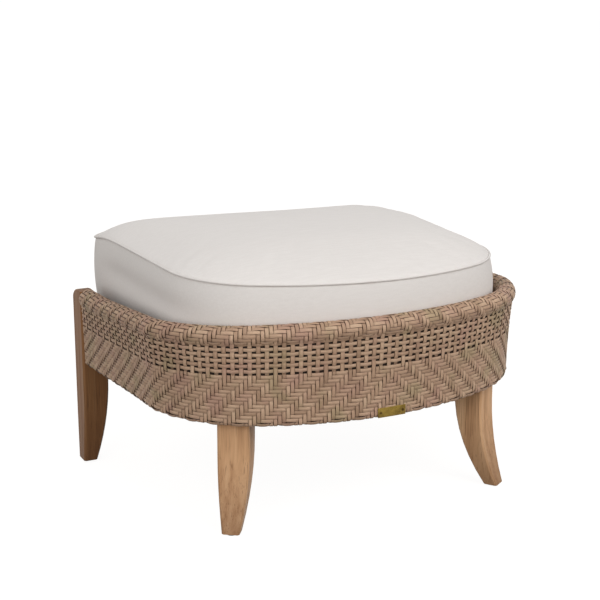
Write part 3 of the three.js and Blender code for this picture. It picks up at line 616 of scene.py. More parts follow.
@dataclass(frozen=True)
class PlanLine:
    """Arcs that turn left one by one, then a straight run; the left half mirrors the right one."""

    front_y: float
    arcs: tuple[tuple[float, float], ...]
    end_y: float

    def _parts(self) -> list[tuple[float, float, float, float, float]]:
        """Splits the right half into its arcs and its straight run.

        Returns:
            Each part's start x and y, heading, radius and length before it.
        """
        parts = []
        x, y, heading, length = 0.0, self.front_y, 0.0, 0.0
        for radius, degrees in self.arcs:
            turn = math.radians(degrees)
            parts.append((x, y, heading, radius, length))
            x += radius * (math.sin(heading + turn) - math.sin(heading))
            y += radius * (math.cos(heading) - math.cos(heading + turn))
            heading += turn
            length += radius * turn
        parts.append((x, y, heading, math.inf, length))
        return parts

    @property
    def half(self) -> float:
        """The length of one half."""
        _, y, heading, _, length = self._parts()[-1]
        return length + (self.end_y - y) / math.sin(heading)

    def place(self, lengths: Points) -> tuple[Points, Points]:
        """Places along the line.

        Args:
            lengths: signed lengths from the middle of the front.

        Returns:
            The points and the outward directions, both in plan.
        """
        side = np.where(lengths < 0, -1.0, 1.0)
        along = np.minimum(np.abs(lengths), self.half)
        points = np.zeros((len(along), 2))
        outward = np.zeros((len(along), 2))
        for x, y, start, radius, before in self._parts():
            chosen = along >= before - TINY
            run = along[chosen] - before
            if math.isinf(radius):
                turned = np.full(run.shape, start)
                right, back = run * math.cos(start), run * math.sin(start)
            else:
                turned = start + run / radius
                right = radius * (np.sin(turned) - math.sin(start))
                back = radius * (math.cos(start) - np.cos(turned))
            points[chosen] = np.column_stack([x + right, y + back])
            outward[chosen] = np.column_stack([np.sin(turned), -np.cos(turned)])
        points[:, 0] *= side
        outward[:, 0] *= side
        return points, outward


@dataclass(frozen=True)
class BandForm:
    """The woven band's form: its plan line, the heights of hem and rim, and how the face leans."""

    front_y: float = -0.2848
    end_y: float = 0.1819
    arcs: tuple[tuple[float, float], ...] = ((0.557, 22.3), (0.223, 50.4), (0.065, 12.35))
    rim_front: float = 0.358
    rim_back: float = 0.333
    hem_front: float = 0.185
    hem_back: float = 0.193
    lean: float = 0.011
    depth: float = 0.467
    level_from: float = 0.38
    roll_radius: float = 0.0169
    roll_inset: float = 0.005
    skirt_share: float = 0.52
    net_share: float = 0.863
    flare: float = 0.0058
    flare_from: float = -0.04

    @property
    def line(self) -> PlanLine:
        """The hem's plan line."""
        return PlanLine(self.front_y, self.arcs, self.end_y)

    def hem(self, y: Points) -> Points:
        """The hem's height at these places."""
        return self.hem_front + (self.hem_back - self.hem_front) * (y - self.front_y) / self.depth

    def rim(self, y: Points) -> Points:
        """The rim's height at these places."""
        share = np.minimum(1.0, (y - self.front_y) / self.level_from)
        return self.rim_front + (self.rim_back - self.rim_front) * share

    def leaning(self, share: Points) -> Points:
        """How far the face leans out at a share of the band's height."""
        return self.lean * share**2

    def surface(self, lengths: Points, section: "SectionMaker") -> Points:
        """A grid of points on the band.

        Args:
            lengths: signed lengths along the hem line.
            section: gives the outward reaches and heights of a section, from hem and rim height.

        Returns:
            Points by length and by place in the section.
        """
        plan, outward = self.line.place(lengths)
        rows = []
        for (x, y), (out_x, out_y) in zip(plan, outward):
            hem, rim = float(self.hem(y)), float(self.rim(y))
            out, height = section(hem, rim)
            run = min(1.0, max(0.0, (y - self.flare_from) / (self.end_y - self.flare_from)))
            share = np.clip((height - hem) / (rim - hem), 0.0, 1.0)
            out = out + self.flare * run * run * (3 - 2 * run) * (1 - share**2)
            rows.append(np.column_stack([x + out_x * out, y + out_y * out, height]))
        return np.array(rows)


class SectionMaker:
    """Something that gives the points of a section of the band."""

    def __call__(self, hem: float, rim: float) -> tuple[Points, Points]:
        """Args:
            hem: the hem's height there.
            rim: the rim's height there.

        Returns:
            How far out each point is, and how high.
        """
        raise NotImplementedError


@dataclass(frozen=True)
class SkirtSection(SectionMaker):
    """From under the hem tube round the hem and up to the open weave."""

    form: BandForm
    inset: float
    rows: int
    under: float = 0.0171
    hem_round: float = 0.004
    round_points: int = 7
    face_points: int = 12

    def __call__(self, hem: float, rim: float) -> tuple[Points, Points]:
        """The section's points, two for each row and one more.

        Args:
            hem: the hem's height there.
            rim: the rim's height there.

        Returns:
            How far out each point is, and how high.
        """
        turns = np.linspace(-math.pi / 2, 0.0, self.round_points) + math.pi / 2
        radius = self.hem_round - self.inset
        corner = np.column_stack([
            -self.hem_round + radius * np.sin(turns),
            hem + self.hem_round - radius * np.cos(turns),
        ])
        low = self.hem_round / (rim - hem)
        shares = np.linspace(low, self.form.skirt_share, self.face_points)[1:]
        face = np.column_stack([self.form.leaning(shares) - self.inset, hem + shares * (rim - hem)])
        start = np.array([[-self.under, hem + self.inset]])
        line = spaced(np.concatenate([start, corner, face]), 2 * self.rows + 1)
        return line[:, 0], line[:, 1]


@dataclass(frozen=True)
class NetSection(SectionMaker):
    """The open weave from the skirt to the roll, with its foot tucked behind the skirt's edge."""

    form: BandForm
    inset: float
    rows: int
    first_row: float = 0.012
    tuck: float = 0.005

    def __call__(self, hem: float, rim: float) -> tuple[Points, Points]:
        """The section's points, two for each row and one more.

        Args:
            hem: the hem's height there.
            rim: the rim's height there.

        Returns:
            How far out each point is, and how high.
        """
        edge = self.form.skirt_share
        shares = np.linspace(edge + self.first_row, self.form.net_share, 2 * self.rows + 1)
        shares[0] = edge - self.tuck
        return self.form.leaning(shares) - self.inset, hem + shares * (rim - hem)


@dataclass(frozen=True)
class ShadeSheetSection(SectionMaker):
    """A thin dark strip close behind the weave, from under the hem tube round to under the roll; it
    is painted shade that stands in for the shade inside the band.
    """

    form: BandForm
    inset: float = 0.0044
    hem_inset: float = 0.0028
    under: float = 0.0203
    corner_run: float = 0.0008
    corner_rise: float = 0.0012
    from_share: float = 0.05
    under_rim: float = 0.0315
    rows: int = 12

    def __call__(self, hem: float, rim: float) -> tuple[Points, Points]:
        """The section's points.

        Args:
            hem: the hem's height there.
            rim: the rim's height there.

        Returns:
            How far out each point is, and how high.
        """
        to_share = (rim - self.under_rim - hem) / (rim - hem)
        shares = np.linspace(self.from_share, to_share, self.rows + 1)
        low = hem + self.hem_inset
        under = [-self.under, -self.under / 2, -self.hem_inset - self.corner_run, -self.hem_inset]
        heights = [low, low, low, low + self.corner_rise]
        out = self.form.leaning(shares) - self.inset
        return np.concatenate([under, out]), np.concatenate([heights, hem + shares * (rim - hem)])


@dataclass(frozen=True)
class RollSection(SectionMaker):
    """Round the rim roll, from its underside over the front and the top to the inside."""

    form: BandForm
    inset: float
    rows: int
    start: float = 22.0
    end: float = 318.0

    def __call__(self, hem: float, rim: float) -> tuple[Points, Points]:
        """The section's points, two for each row and one more.

        Args:
            hem: the hem's height there; not used.
            rim: the rim's height there.

        Returns:
            How far out each point is, and how high.
        """
        turns = np.radians(np.linspace(self.start, self.end, 2 * self.rows + 1))
        radius = self.form.roll_radius - self.inset
        middle = rim - self.form.roll_radius
        return -self.form.roll_inset + radius * np.sin(turns), middle - radius * np.cos(turns)


# Lines, meshes and finished pieces


def linked(name: str, data: bpy.types.ID) -> Object:
    """A new object in the scene.

    Args:
        name: its name.
        data: the mesh, lamp or camera that it holds.

    Returns:
        The object.
    """
    made = bpy.data.objects.new(name, data)
    bpy.context.scene.collection.objects.link(made)
    return made


def keep_on(mesh: bpy.types.Mesh, name: str, values: Points) -> None:
    """Keeps a number or a direction on each point of a mesh.

    Args:
        mesh: the mesh.
        name: what it is called there.
        values: a number or three for each point.
    """
    kind, key = ("FLOAT_VECTOR", "vector") if values.ndim == 2 else ("FLOAT", "value")
    layer = mesh.attributes.new(name, kind, "POINT")
    layer.data.foreach_set(key, values.astype(np.float32).ravel())


@dataclass
class Strands:
    """A set of strands with one flat section, drawn as lines and then swept."""

    name: str
    width: float
    thickness: float = 0.0016
    points: list[Points] = field(default_factory=list)
    faces: list[Points] = field(default_factory=list)
    lifts: list[Points] = field(default_factory=list)
    tones: list[float] = field(default_factory=list)
    scales: list[float] = field(default_factory=list)

    def add(
        self, points: Points, face: Points, lift: Points, tone: float, scale: float = 1.0
    ) -> None:
        """Adds one strand.

        Args:
            points: the middle line of the strand.
            face: the direction that its flat side faces, at each point.
            lift: how far it lies over or under, at each point, from -1 to 1.
            tone: its own shade, from 0 to 1.
            scale: the size of its section against the set's.
        """
        self.scales.append(scale)
        self.points.append(points)
        self.faces.append(face)
        self.lifts.append(lift)
        self.tones.append(tone)

    def line_object(self) -> Object:
        """Draws the strands' middle lines.

        Returns:
            An object of edges, with what the sweep and the finish read kept on its points.
        """
        mesh = bpy.data.meshes.new(self.name)
        counts = [len(line) for line in self.points]
        edges, start = [], 0
        for count in counts:
            numbers = np.arange(start, start + count)
            edges.append(np.column_stack([numbers[:-1], numbers[1:]]))
            start += count
        points = np.concatenate(self.points)
        mesh.from_pydata(points.tolist(), np.concatenate(edges).tolist(), [])
        keep_on(mesh, "face", np.concatenate(self.faces))
        keep_on(mesh, "lift", np.concatenate(self.lifts))
        keep_on(mesh, "tone", np.repeat(self.tones, counts))
        keep_on(mesh, "scale", np.repeat(self.scales, counts))
        return linked(self.name, mesh)

    def swept(self, sweep: "Sweep", finish: Material) -> Object:
        """The strands as one plain mesh."""
        return sweep.apply(self.line_object(), self.width, self.thickness, finish)


class ShapeNodes:
    """A Geometry Nodes tree with a shape in, a shape out and named inputs."""

    def __init__(self, name: str, inputs: dict[str, str]) -> None:
        """Args:
            name: the tree's name.
            inputs: the kind of each named input.
        """
        self.group = bpy.data.node_groups.new(name, "GeometryNodeTree")
        face = self.group.interface
        face.new_socket("Geometry", in_out="INPUT", socket_type="NodeSocketGeometry")
        self.sockets = {}
        for key, kind in inputs.items():
            socket = face.new_socket(key, in_out="INPUT", socket_type=f"NodeSocket{kind}")
            self.sockets[key] = socket.identifier
        face.new_socket("Geometry", in_out="OUTPUT", socket_type="NodeSocketGeometry")

    @staticmethod
    def kept(graph: Graph, name: str, kind: str = "FLOAT_VECTOR") -> Wire:
        """A direction or a number kept on the points."""
        return graph.node("GeometryNodeInputNamedAttribute", {"data_type": kind}, {0: name})

    @staticmethod
    def close(graph: Graph, shape: Wire, finish: Wire) -> None:
        """Ends the tree with real faces in their finish.

        Args:
            graph: the tree.
            shape: what it made.
            finish: the material.
        """
        shape = graph.node("GeometryNodeRealizeInstances", None, {0: shape})
        inputs = {"Geometry": shape, "Material": finish}
        shape = graph.node("GeometryNodeSetMaterial", None, inputs)
        graph.node("NodeGroupOutput", None, {0: shape})

    def run(self, made: Object, **values: object) -> Object:
        """Runs the tree on an object and leaves it a plain mesh.

        Args:
            made: the object.
            values: what the named inputs get.

        Returns:
            The same object.
        """
        modifier = made.modifiers.new(self.group.name, "NODES")
        modifier.node_group = self.group
        for key, value in values.items():
            modifier[self.sockets[key]] = value
        return made_plain(made)


class Sweep(ShapeNodes):
    """Sweeps a flat strip with eased edges or a round cord along lines."""

    ease: float = 0.45
    round_sides: int = 8

    def __init__(self, name: str, flat: bool) -> None:
        """Args:
            name: the tree's name.
            flat: whether the section is a flat strip, and not a circle.
        """
        super().__init__(name, {"Width": "Float", "Thickness": "Float", "Finish": "Material"})
        graph = Graph(self.group)
        given = graph.node("NodeGroupInput")
        width, thickness = given.beside("Width"), given.beside("Thickness")
        lines = graph.node("GeometryNodeMeshToCurve", None, {0: given})
        facing = {"Curve": lines, "Normal": self.kept(graph, "face")}
        lines = graph.node("GeometryNodeSetCurveNormal", {"mode": "FREE"}, facing)
        sized = {"Curve": lines, "Radius": self.kept(graph, "scale", "FLOAT")}
        lines = graph.node("GeometryNodeSetCurveRadius", None, sized)
        section = self._strip(graph, width, thickness) if flat else self._cord(graph, width)
        place = graph.node("GeometryNodeInputPosition")
        spot = graph.node("ShaderNodeSeparateXYZ", None, {0: place}, 1)
        stored = {"Geometry": section, "Name": "across", "Value": spot / (width * 0.5)}
        settings = {"data_type": "FLOAT", "domain": "POINT"}
        section = graph.node("GeometryNodeStoreNamedAttribute", settings, stored)
        parts = {"Curve": lines, "Profile Curve": section, "Fill Caps": True}
        swept = graph.node("GeometryNodeCurveToMesh", None, parts)
        self.close(graph, swept, given.beside("Finish"))

    def _strip(self, graph: Graph, width: Wire, thickness: Wire) -> Wire:
        """The section of a flat strip.

        Args:
            graph: the tree.
            width: its width.
            thickness: its thickness.

        Returns:
            The section, with eased corners.
        """
        sizes = {"Width": thickness, "Height": width}
        kind = "GeometryNodeCurvePrimitiveQuadrilateral"
        section = graph.node(kind, {"mode": "RECTANGLE"}, sizes)
        radius = thickness * self.ease
        eased = {"Curve": section, "Radius": radius, "Count": 1, "Limit Radius": True}
        return graph.node("GeometryNodeFilletCurve", {"mode": "POLY"}, eased)

    def _cord(self, graph: Graph, width: Wire) -> Wire:
        """The section of a round cord."""
        sizes = {"Resolution": self.round_sides, "Radius": width * 0.5}
        return graph.node("GeometryNodeCurvePrimitiveCircle", None, sizes)

    def apply(self, lines: Object, width: float, thickness: float, finish: Material) -> Object:
        """Sweeps an object's lines.

        Args:
            lines: the object that holds the lines.
            width: the section's width.
            thickness: the section's thickness.
            finish: the material.

        Returns:
            The same object, as a plain mesh.
        """
        return self.run(lines, Width=width, Thickness=thickness, Finish=finish)


class Scatter(ShapeNodes):
    """Puts one shape at every point, turned to the point's axis."""

    def __init__(self) -> None:
        """Builds the tree."""
        super().__init__("scatter", {"Shape": "Object", "Size": "Float", "Finish": "Material"})
        graph = Graph(self.group)
        given = graph.node("NodeGroupInput")
        axis = {"Vector": self.kept(graph, "axis")}
        turn = graph.node("FunctionNodeAlignRotationToVector", {"axis": "Z"}, axis)
        shape = graph.node("GeometryNodeObjectInfo", None, {"Object": given.beside("Shape")})
        placed = graph.node("GeometryNodeInstanceOnPoints", None, {
            "Points": given,
            "Instance": shape.beside("Geometry"),
            "Rotation": turn,
            "Scale": given.beside("Size"),
        })
        self.close(graph, placed, given.beside("Finish"))

    def apply(
        self, name: str, places: list[Spot], axes: list[Spot], shape: Object, finish: Material
    ) -> Object:
        """Puts a shape at these places, and takes the shape's own object away.

        Args:
            name: the new object's name.
            places: the points.
            axes: where the shape's +Z points, at each point.
            shape: the object that is repeated.
            finish: the material.

        Returns:
            The new object, a plain mesh.
        """
        mesh = bpy.data.meshes.new(name)
        mesh.from_pydata(places, [], [])
        keep_on(mesh, "axis", np.array(axes))
        made = self.run(linked(name, mesh), Shape=shape, Size=1.0, Finish=finish)
        bpy.data.objects.remove(shape)
        return made


def made_plain(made: Object) -> Object:
    """Turns an object with modifiers into a plain mesh.

    Args:
        made: the object.

    Returns:
        The same object, without modifiers.
    """
    depsgraph = bpy.context.evaluated_depsgraph_get()
    mesh = bpy.data.meshes.new_from_object(
        made.evaluated_get(depsgraph), preserve_all_data_layers=True, depsgraph=depsgraph
    )
    made.modifiers.clear()
    old = made.data
    made.data = mesh
    mesh.name = made.name
    bpy.data.meshes.remove(old)
    mesh.shade_smooth()
    return made


def thickened(sheet: Object, thickness: float, offset: float = 0.0, ease: float = 0.0) -> Object:
    """Gives a sheet of faces its thickness, and eases its edges.

    Args:
        sheet: the sheet.
        thickness: how thick it gets.
        offset: 0 for both sides of the sheet alike, -1 for its back only.
        ease: how wide the eased edges are, or 0 to leave them sharp.

    Returns:
        The same object, as a plain mesh.
    """
    thicken = sheet.modifiers.new("thickness", "SOLIDIFY")
    thicken.thickness = thickness
    thicken.offset = offset
    if ease:
        eased = sheet.modifiers.new("eased", "BEVEL")
        eased.width = ease
        eased.segments = 2
        eased.limit_method = "ANGLE"
        eased.angle_limit = SHARP_BEND
    return made_plain(sheet)


def ring_faces(first: int, second: int, size: int) -> list[tuple[int, ...]]:
    """The faces between two rings of points.

    Args:
        first: the number of the first ring's first point.
        second: the number of the second ring's first point.
        size: how many points each ring has.

    Returns:
        The faces, as point numbers.
    """
    turned = [(k, (k + 1) % size) for k in range(size)]
    return [(first + k, first + after, second + after, second + k) for k, after in turned]


def grid_faces(columns: int, rows: int, first: int = 0) -> list[tuple[int, ...]]:
    """The faces of a grid of points, which is numbered column by column.

    Args:
        columns: how many columns of points it has.
        rows: how many points a column has.
        first: the number of its first point.

    Returns:
        The faces, as point numbers.
    """
    corners = [first + c * rows + r for c in range(columns - 1) for r in range(rows - 1)]
    return [(corner, corner + 1, corner + rows + 1, corner + rows) for corner in corners]


def mesh_object(name: str, points: Points, faces: list, finish: Material) -> Object:
    """A linked object from points and faces.

    Args:
        name: the object's name.
        points: its points.
        faces: its faces, as lists of point numbers.
        finish: its material.

    Returns:
        The new object.
    """
    mesh = bpy.data.meshes.new(name)
    mesh.from_pydata(np.asarray(points).tolist(), [], faces)
    mesh.materials.append(finish)
    mesh.shade_smooth()
    return linked(name, mesh)


def dressed(piece: Object, body: str, slot: Slot, *nodes: str) -> Object:
    """Makes a finished piece ride on a body and stand for nodes.

    Args:
        piece: the object.
        body: the body's name.
        slot: the record's slot; not used.
        nodes: the nodes that it replaces.

    Returns:
        The piece.
    """
    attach(piece, body)
    if nodes:
        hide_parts(*nodes)
    LOG.info("%s: %d faces on %s", piece.name, len(piece.data.polygons), body)
    return piece


def points_of(mesh: bpy.types.Mesh) -> Points:
    """Reads a mesh's points.

    Args:
        mesh: the mesh.

    Returns:
        The points, one a row.
    """
    flat = np.zeros(3 * len(mesh.vertices), np.float32)
    mesh.vertices.foreach_get("co", flat)
    return flat.reshape(-1, 3).astype(float)


# Weaving


TURNING_COLUMN = 1


class Weave(Enum):
    """How strands cross."""

    TWILL = 3
    PLAIN = 1

    def upright_over(self, column: Points, row: Points, phase: int) -> Points:
        """Which strand lies over the other; the twill mirrors to both sides of its turning column.

        Args:
            column: the crossings' columns, from the middle of the band.
            row: the crossings' rows, from below.
            phase: by how many rows the pattern is shifted.

        Returns:
            1 where the upright strand lies over the level one, and -1 where it lies under it.
        """
        span = self.value
        step = (np.abs(column - TURNING_COLUMN) + row + phase) % (2 * span)
        return np.where(step < span, 1.0, -1.0)


@dataclass
class Patch:
    """A woven patch: a grid of points with two for each strand and one more, both ways."""

    grid: Points
    weave: Weave
    first_column: int
    phase: int = 0
    rise: float = 0.0009
    crown: float = 0.0006
    shading: float = 1.0

    def __post_init__(self) -> None:
        """Works out the outward direction at each point."""
        along = np.gradient(self.grid, axis=0)
        up = np.gradient(self.grid, axis=1)
        normal = np.cross(along, up)
        self.normal = normal / np.linalg.norm(normal, axis=2, keepdims=True)
        self.columns = (self.grid.shape[0] - 1) // 2
        self.rows = (self.grid.shape[1] - 1) // 2

    def lifts(self) -> Points:
        """Works out which strand lies over the other.

        Returns:
            The upright strand's lift at every crossing, by column and row.
        """
        columns = self.first_column + np.arange(self.columns)
        column, row = np.meshgrid(columns, np.arange(self.rows), indexing="ij")
        return self.weave.upright_over(column, row, self.phase)

    @staticmethod
    def _along(crossings: Points) -> Points:
        """Fills in a strand's lift between its crossings and at its two ends.

        Args:
            crossings: the lift at each crossing.

        Returns:
            The lift at each of its points.
        """
        full = np.zeros(2 * len(crossings) + 1)
        full[1::2] = crossings
        full[2:-1:2] = (crossings[:-1] + crossings[1:]) / 2
        full[0], full[-1] = crossings[0], crossings[-1]
        return full

    def _strand(self, points: Points, normal: Points, crossings: Points) -> tuple[Points, ...]:
        """Lays one strand over and under, highest in the middle of each run on top.

        Args:
            points: its points on the patch.
            normal: the outward direction at each.
            crossings: its lift at each crossing.

        Returns:
            Its moved points, the directions that it faces, and its lift for the finish.
        """
        lift = self._along(crossings)
        same = np.zeros(len(lift))
        same[1:-1] = (np.sign(lift[:-2]) == np.sign(lift[2:])) & (lift[1:-1] > 0.5)
        shift = lift * self.rise + same * self.crown
        moved = points + normal * shift[:, None]
        return moved, normal, 1 - (1 - lift) * self.shading

    def uprights(self, strands: Strands, tones: Points, scales: Points) -> None:
        """Adds the upright strands to a set.

        Args:
            strands: the set.
            tones: each strand's own shade.
            scales: the size of each strand's section against the set's.
        """
        lifts = self.lifts()
        for column in range(self.columns):
            place = 2 * column + 1
            made = self._strand(self.grid[place], self.normal[place], lifts[column])
            strands.add(*made, tones[column], scales[column])

    def levels(self, strands: Strands, tones: Points) -> None:
        """Adds the level strands to a set.

        Args:
            strands: the set.
            tones: each strand's own shade.
        """
        lifts = self.lifts()
        for row in range(self.rows):
            place = 2 * row + 1
            made = self._strand(self.grid[:, place], self.normal[:, place], -lifts[:, row])
            strands.add(*made, tones[row])


@dataclass
class Band:
    """The woven band: rim roll, open weave and twill skirt."""

    form: BandForm
    finish: Material
    shade_sheet_finish: Material
    sweep: Sweep
    front_columns: int = 60
    side_columns: int = 46
    front_pitch: float = 0.00683
    skirt_rows: int = 16
    net_rows: int = 6
    roll_rows: int = 13
    roll_phase: int = 2
    inset: float = 0.0022
    strand_width: float = 0.0066
    net_strand_width: float = 0.0074
    level_width: float = 0.0065
    net_level_width: float = 0.0063
    net_shading: float = 0.45
    net_side_scale: float = 0.76
    twill_side_scale: float = 0.8
    shade_sheet_thickness: float = 0.0004
    shade_sheet_columns: int = 141
    seed: int = 7

    def spot(self, columns: Points) -> tuple[Points, Points]:
        """Where columns stand.

        Args:
            columns: column numbers from the middle of the front; halves lie between two columns.

        Returns:
            The lengths along the hem line, and the columns' breadth against those in front.
        """
        turn = self.front_columns + 0.5
        side_pitch = (self.form.line.half - turn * self.front_pitch) / self.side_columns
        front = np.minimum(np.abs(columns), turn)
        side = np.maximum(np.abs(columns) - turn, 0.0)
        lengths = np.sign(columns) * (front * self.front_pitch + side * side_pitch)
        return lengths, np.where(side > 0, side_pitch / self.front_pitch, 1.0)

    def patches(self) -> tuple[Patch, Patch, Patch]:
        """Draws the three woven zones; the net has an upright on every other column.

        Returns:
            The skirt, the net and the roll.
        """
        half = self.front_columns + self.side_columns
        columns = 2 * half + 1
        fine = self.spot(np.arange(2 * columns + 1) / 2 - half - 0.5)[0]
        steps = np.clip(np.arange(columns + 2) - half - 1.0, -half - 0.5, half + 0.5)
        wide = self.spot(steps)[0]
        skirt = self.form.surface(fine, SkirtSection(self.form, self.inset, self.skirt_rows))
        net = self.form.surface(wide, NetSection(self.form, self.inset, self.net_rows))
        roll = self.form.surface(fine, RollSection(self.form, self.inset, self.roll_rows))
        return (
            Patch(skirt, Weave.TWILL, -half),
            Patch(net, Weave.PLAIN, 0, shading=self.net_shading),
            Patch(roll, Weave.TWILL, -half, phase=self.roll_phase),
        )

    def build(self) -> None:
        """Weaves the three zones and puts the dark strip of painted shade behind them."""
        random = np.random.default_rng(self.seed)
        half = self.front_columns + self.side_columns
        columns = 2 * half + 1
        tones = random.random(columns)
        breadths = self.spot(np.arange(columns) - float(half))[1]
        skirt, net, roll = self.patches()
        twill = (self.strand_width, self.level_width, self.twill_side_scale)
        open_work = (self.net_strand_width, self.net_level_width, self.net_side_scale)
        for node, patch, every, (upright_width, level_width, side_scale) in (
            ("twill_skirt", skirt, 1, twill),
            ("open_weave", net, 2, open_work),
            ("rim_roll", roll, 1, twill),
        ):
            scales = np.where(breadths < 1.0, breadths * side_scale, 1.0)
            uprights = Strands(f"{node}_uprights", upright_width)
            patch.uprights(uprights, tones[::every], scales[::every])
            levels = Strands(f"{node}_levels", level_width)
            patch.levels(levels, random.random(patch.rows))
            for strands in (uprights, levels):
                dressed(strands.swept(self.sweep, self.finish), "frame", Slot.RESIN, node)
        self.shade_sheet()

    def shade_sheet(self) -> None:
        """Puts the dark strip behind the weave as painted shade, which keeps the gaps of the net
        dark.
        """
        lengths = np.linspace(-self.form.line.half, self.form.line.half, self.shade_sheet_columns)
        grid = self.form.surface(lengths, ShadeSheetSection(self.form))
        faces = [(a, d, c, b) for a, b, c, d in grid_faces(*grid.shape[:2])]
        sheet = mesh_object("band_backing", grid.reshape(-1, 3), faces, self.shade_sheet_finish)
        dressed(thickened(sheet, self.shade_sheet_thickness, -1.0), "frame", Slot.RESIN)


# Frame, deck, fasteners and plate


@dataclass(frozen=True)
class Eased:
    """A node's own shape with its long edges eased."""

    node: str
    body: str
    slot: Slot
    ease: float
    shortest: float = 0.002
    sharpest: float = math.radians(28.0)
    flattest: float = math.radians(1.0)
    top_round: tuple[float, float] | None = None
    past_middle: float = 0.003

    def build(self, solid: Object, finish: Material) -> None:
        """Makes the piece that stands for the node.

        Args:
            solid: the node's object, which is copied.
            finish: the material.
        """
        form = bmesh.new()
        form.from_mesh(solid.data)
        bmesh.ops.remove_doubles(form, verts=form.verts, dist=WELD)
        if self.top_round:
            self.round_top(form)
        bmesh.ops.dissolve_limit(
            form, angle_limit=self.flattest, verts=form.verts, edges=form.edges
        )
        edges = [
            edge for edge in form.edges
            if len(edge.link_faces) == 2
            and edge.calc_length() > self.shortest
            and edge.calc_face_angle() > self.sharpest
        ]
        rounding = {"segments": 3, "profile": 0.5, "affect": "EDGES", "clamp_overlap": True}
        bmesh.ops.bevel(form, geom=edges, offset=self.ease, **rounding)
        mesh = bpy.data.meshes.new(f"{self.node}_eased")
        form.to_mesh(mesh)
        form.free()
        mesh.materials.append(finish)
        mesh.shade_smooth()
        made = linked(mesh.name, mesh)
        shaded = made.modifiers.new("shaded", "WEIGHTED_NORMAL")
        shaded.keep_sharp = False
        dressed(made_plain(made), self.body, self.slot, self.node)

    def round_top(self, form: bmesh.types.BMesh) -> None:
        """Deepens the rounding at the rear of a leg's top.

        Args:
            form: the leg.
        """
        start, stretch = self.top_round
        rear = max(vertex.co.y for vertex in form.verts)
        middle = (rear + min(vertex.co.y for vertex in form.verts)) / 2
        for vertex in form.verts:
            if vertex.co.z > start and vertex.co.y > middle - self.past_middle:
                vertex.co.y = rear - (rear - vertex.co.y) * stretch


def eased_nodes() -> list[Eased]:
    """Lists the nodes that keep their shape and get eased edges.

    Returns:
        The legs, the plates and tabs that hold them, the rail, the brass plate and the slider.
    """
    legs = [
        Eased(f"{end}_{side}_leg", "frame", Slot.TEAK, 0.0009, top_round=top)
        for end, top in (("front", None), ("back", (0.3131, 1.75)))
        for side in SIDES
    ]
    plates = [
        Eased(name, "frame", Slot.FRAME, 0.0007)
        for side in SIDES
        for name in (f"front_{side}_leg_plate", f"back_{side}_leg_plate", f"back_{side}_rail_tab")
    ]
    others = [
        Eased("back_rail", "frame", Slot.FRAME, 0.0015),
        Eased("brass_plate", "frame", Slot.BRASS, 0.0006, 0.001),
        Eased("zip_slider", "zip_slider", Slot.STEEL, 0.0006, 0.001),
    ]
    return legs + plates + others


def lathed(
    name: str, rings: list[tuple[float, float, bool]], finish: Material, count: int
) -> Object:
    """A turned shape, whose rings may be hexagons.

    Args:
        name: the object's name.
        rings: radius, height and whether it is a hexagon, from the top down.
        finish: its material.
        count: the points in a ring.

    Returns:
        The new object.
    """
    points: list[Spot] = []
    for radius, height, hexagon in rings:
        for number in range(count):
            turn = 2 * math.pi * number / count
            flat = math.cos((turn + HEXAGON / 2) % HEXAGON - HEXAGON / 2)
            reach = radius / flat if hexagon else radius
            points.append((reach * math.cos(turn), reach * math.sin(turn), height))
    faces = [tuple(range(count))]
    for level in range(len(rings) - 1):
        faces += ring_faces((level + 1) * count, level * count, count)
    faces.append(tuple(reversed(range((len(rings) - 1) * count, len(rings) * count))))
    return mesh_object(name, np.array(points), faces, finish)


@dataclass(frozen=True)
class Screw:
    """A button-headed screw with a hexagonal socket; its head sits on the plane of its place."""

    head: float
    rise: float
    shank: float
    length: float
    socket: float = 0.44
    tip: float = 0.001
    corners: int = 24

    def shape(self, finish: Material) -> Object:
        """Turns the screw, standing with its head up.

        Args:
            finish: its material.

        Returns:
            The screw as an object.
        """
        socket = self.head * self.socket
        rings = [
            (socket, self.rise * 0.45, True),
            (socket, self.rise * 0.95, True),
            (socket * 1.25, self.rise, False),
            (self.head * 0.74, self.rise * 0.94, False),
            (self.head * 0.93, self.rise * 0.66, False),
            (self.head, self.rise * 0.36, False),
            (self.head, self.rise * 0.08, False),
            (self.head * 0.96, 0.0, False),
            (self.shank, 0.0, False),
            (self.shank, self.tip - self.length, False),
            (self.shank * 0.7, -self.length, False),
        ]
        return lathed("screw_shape", rings, finish, self.corners)


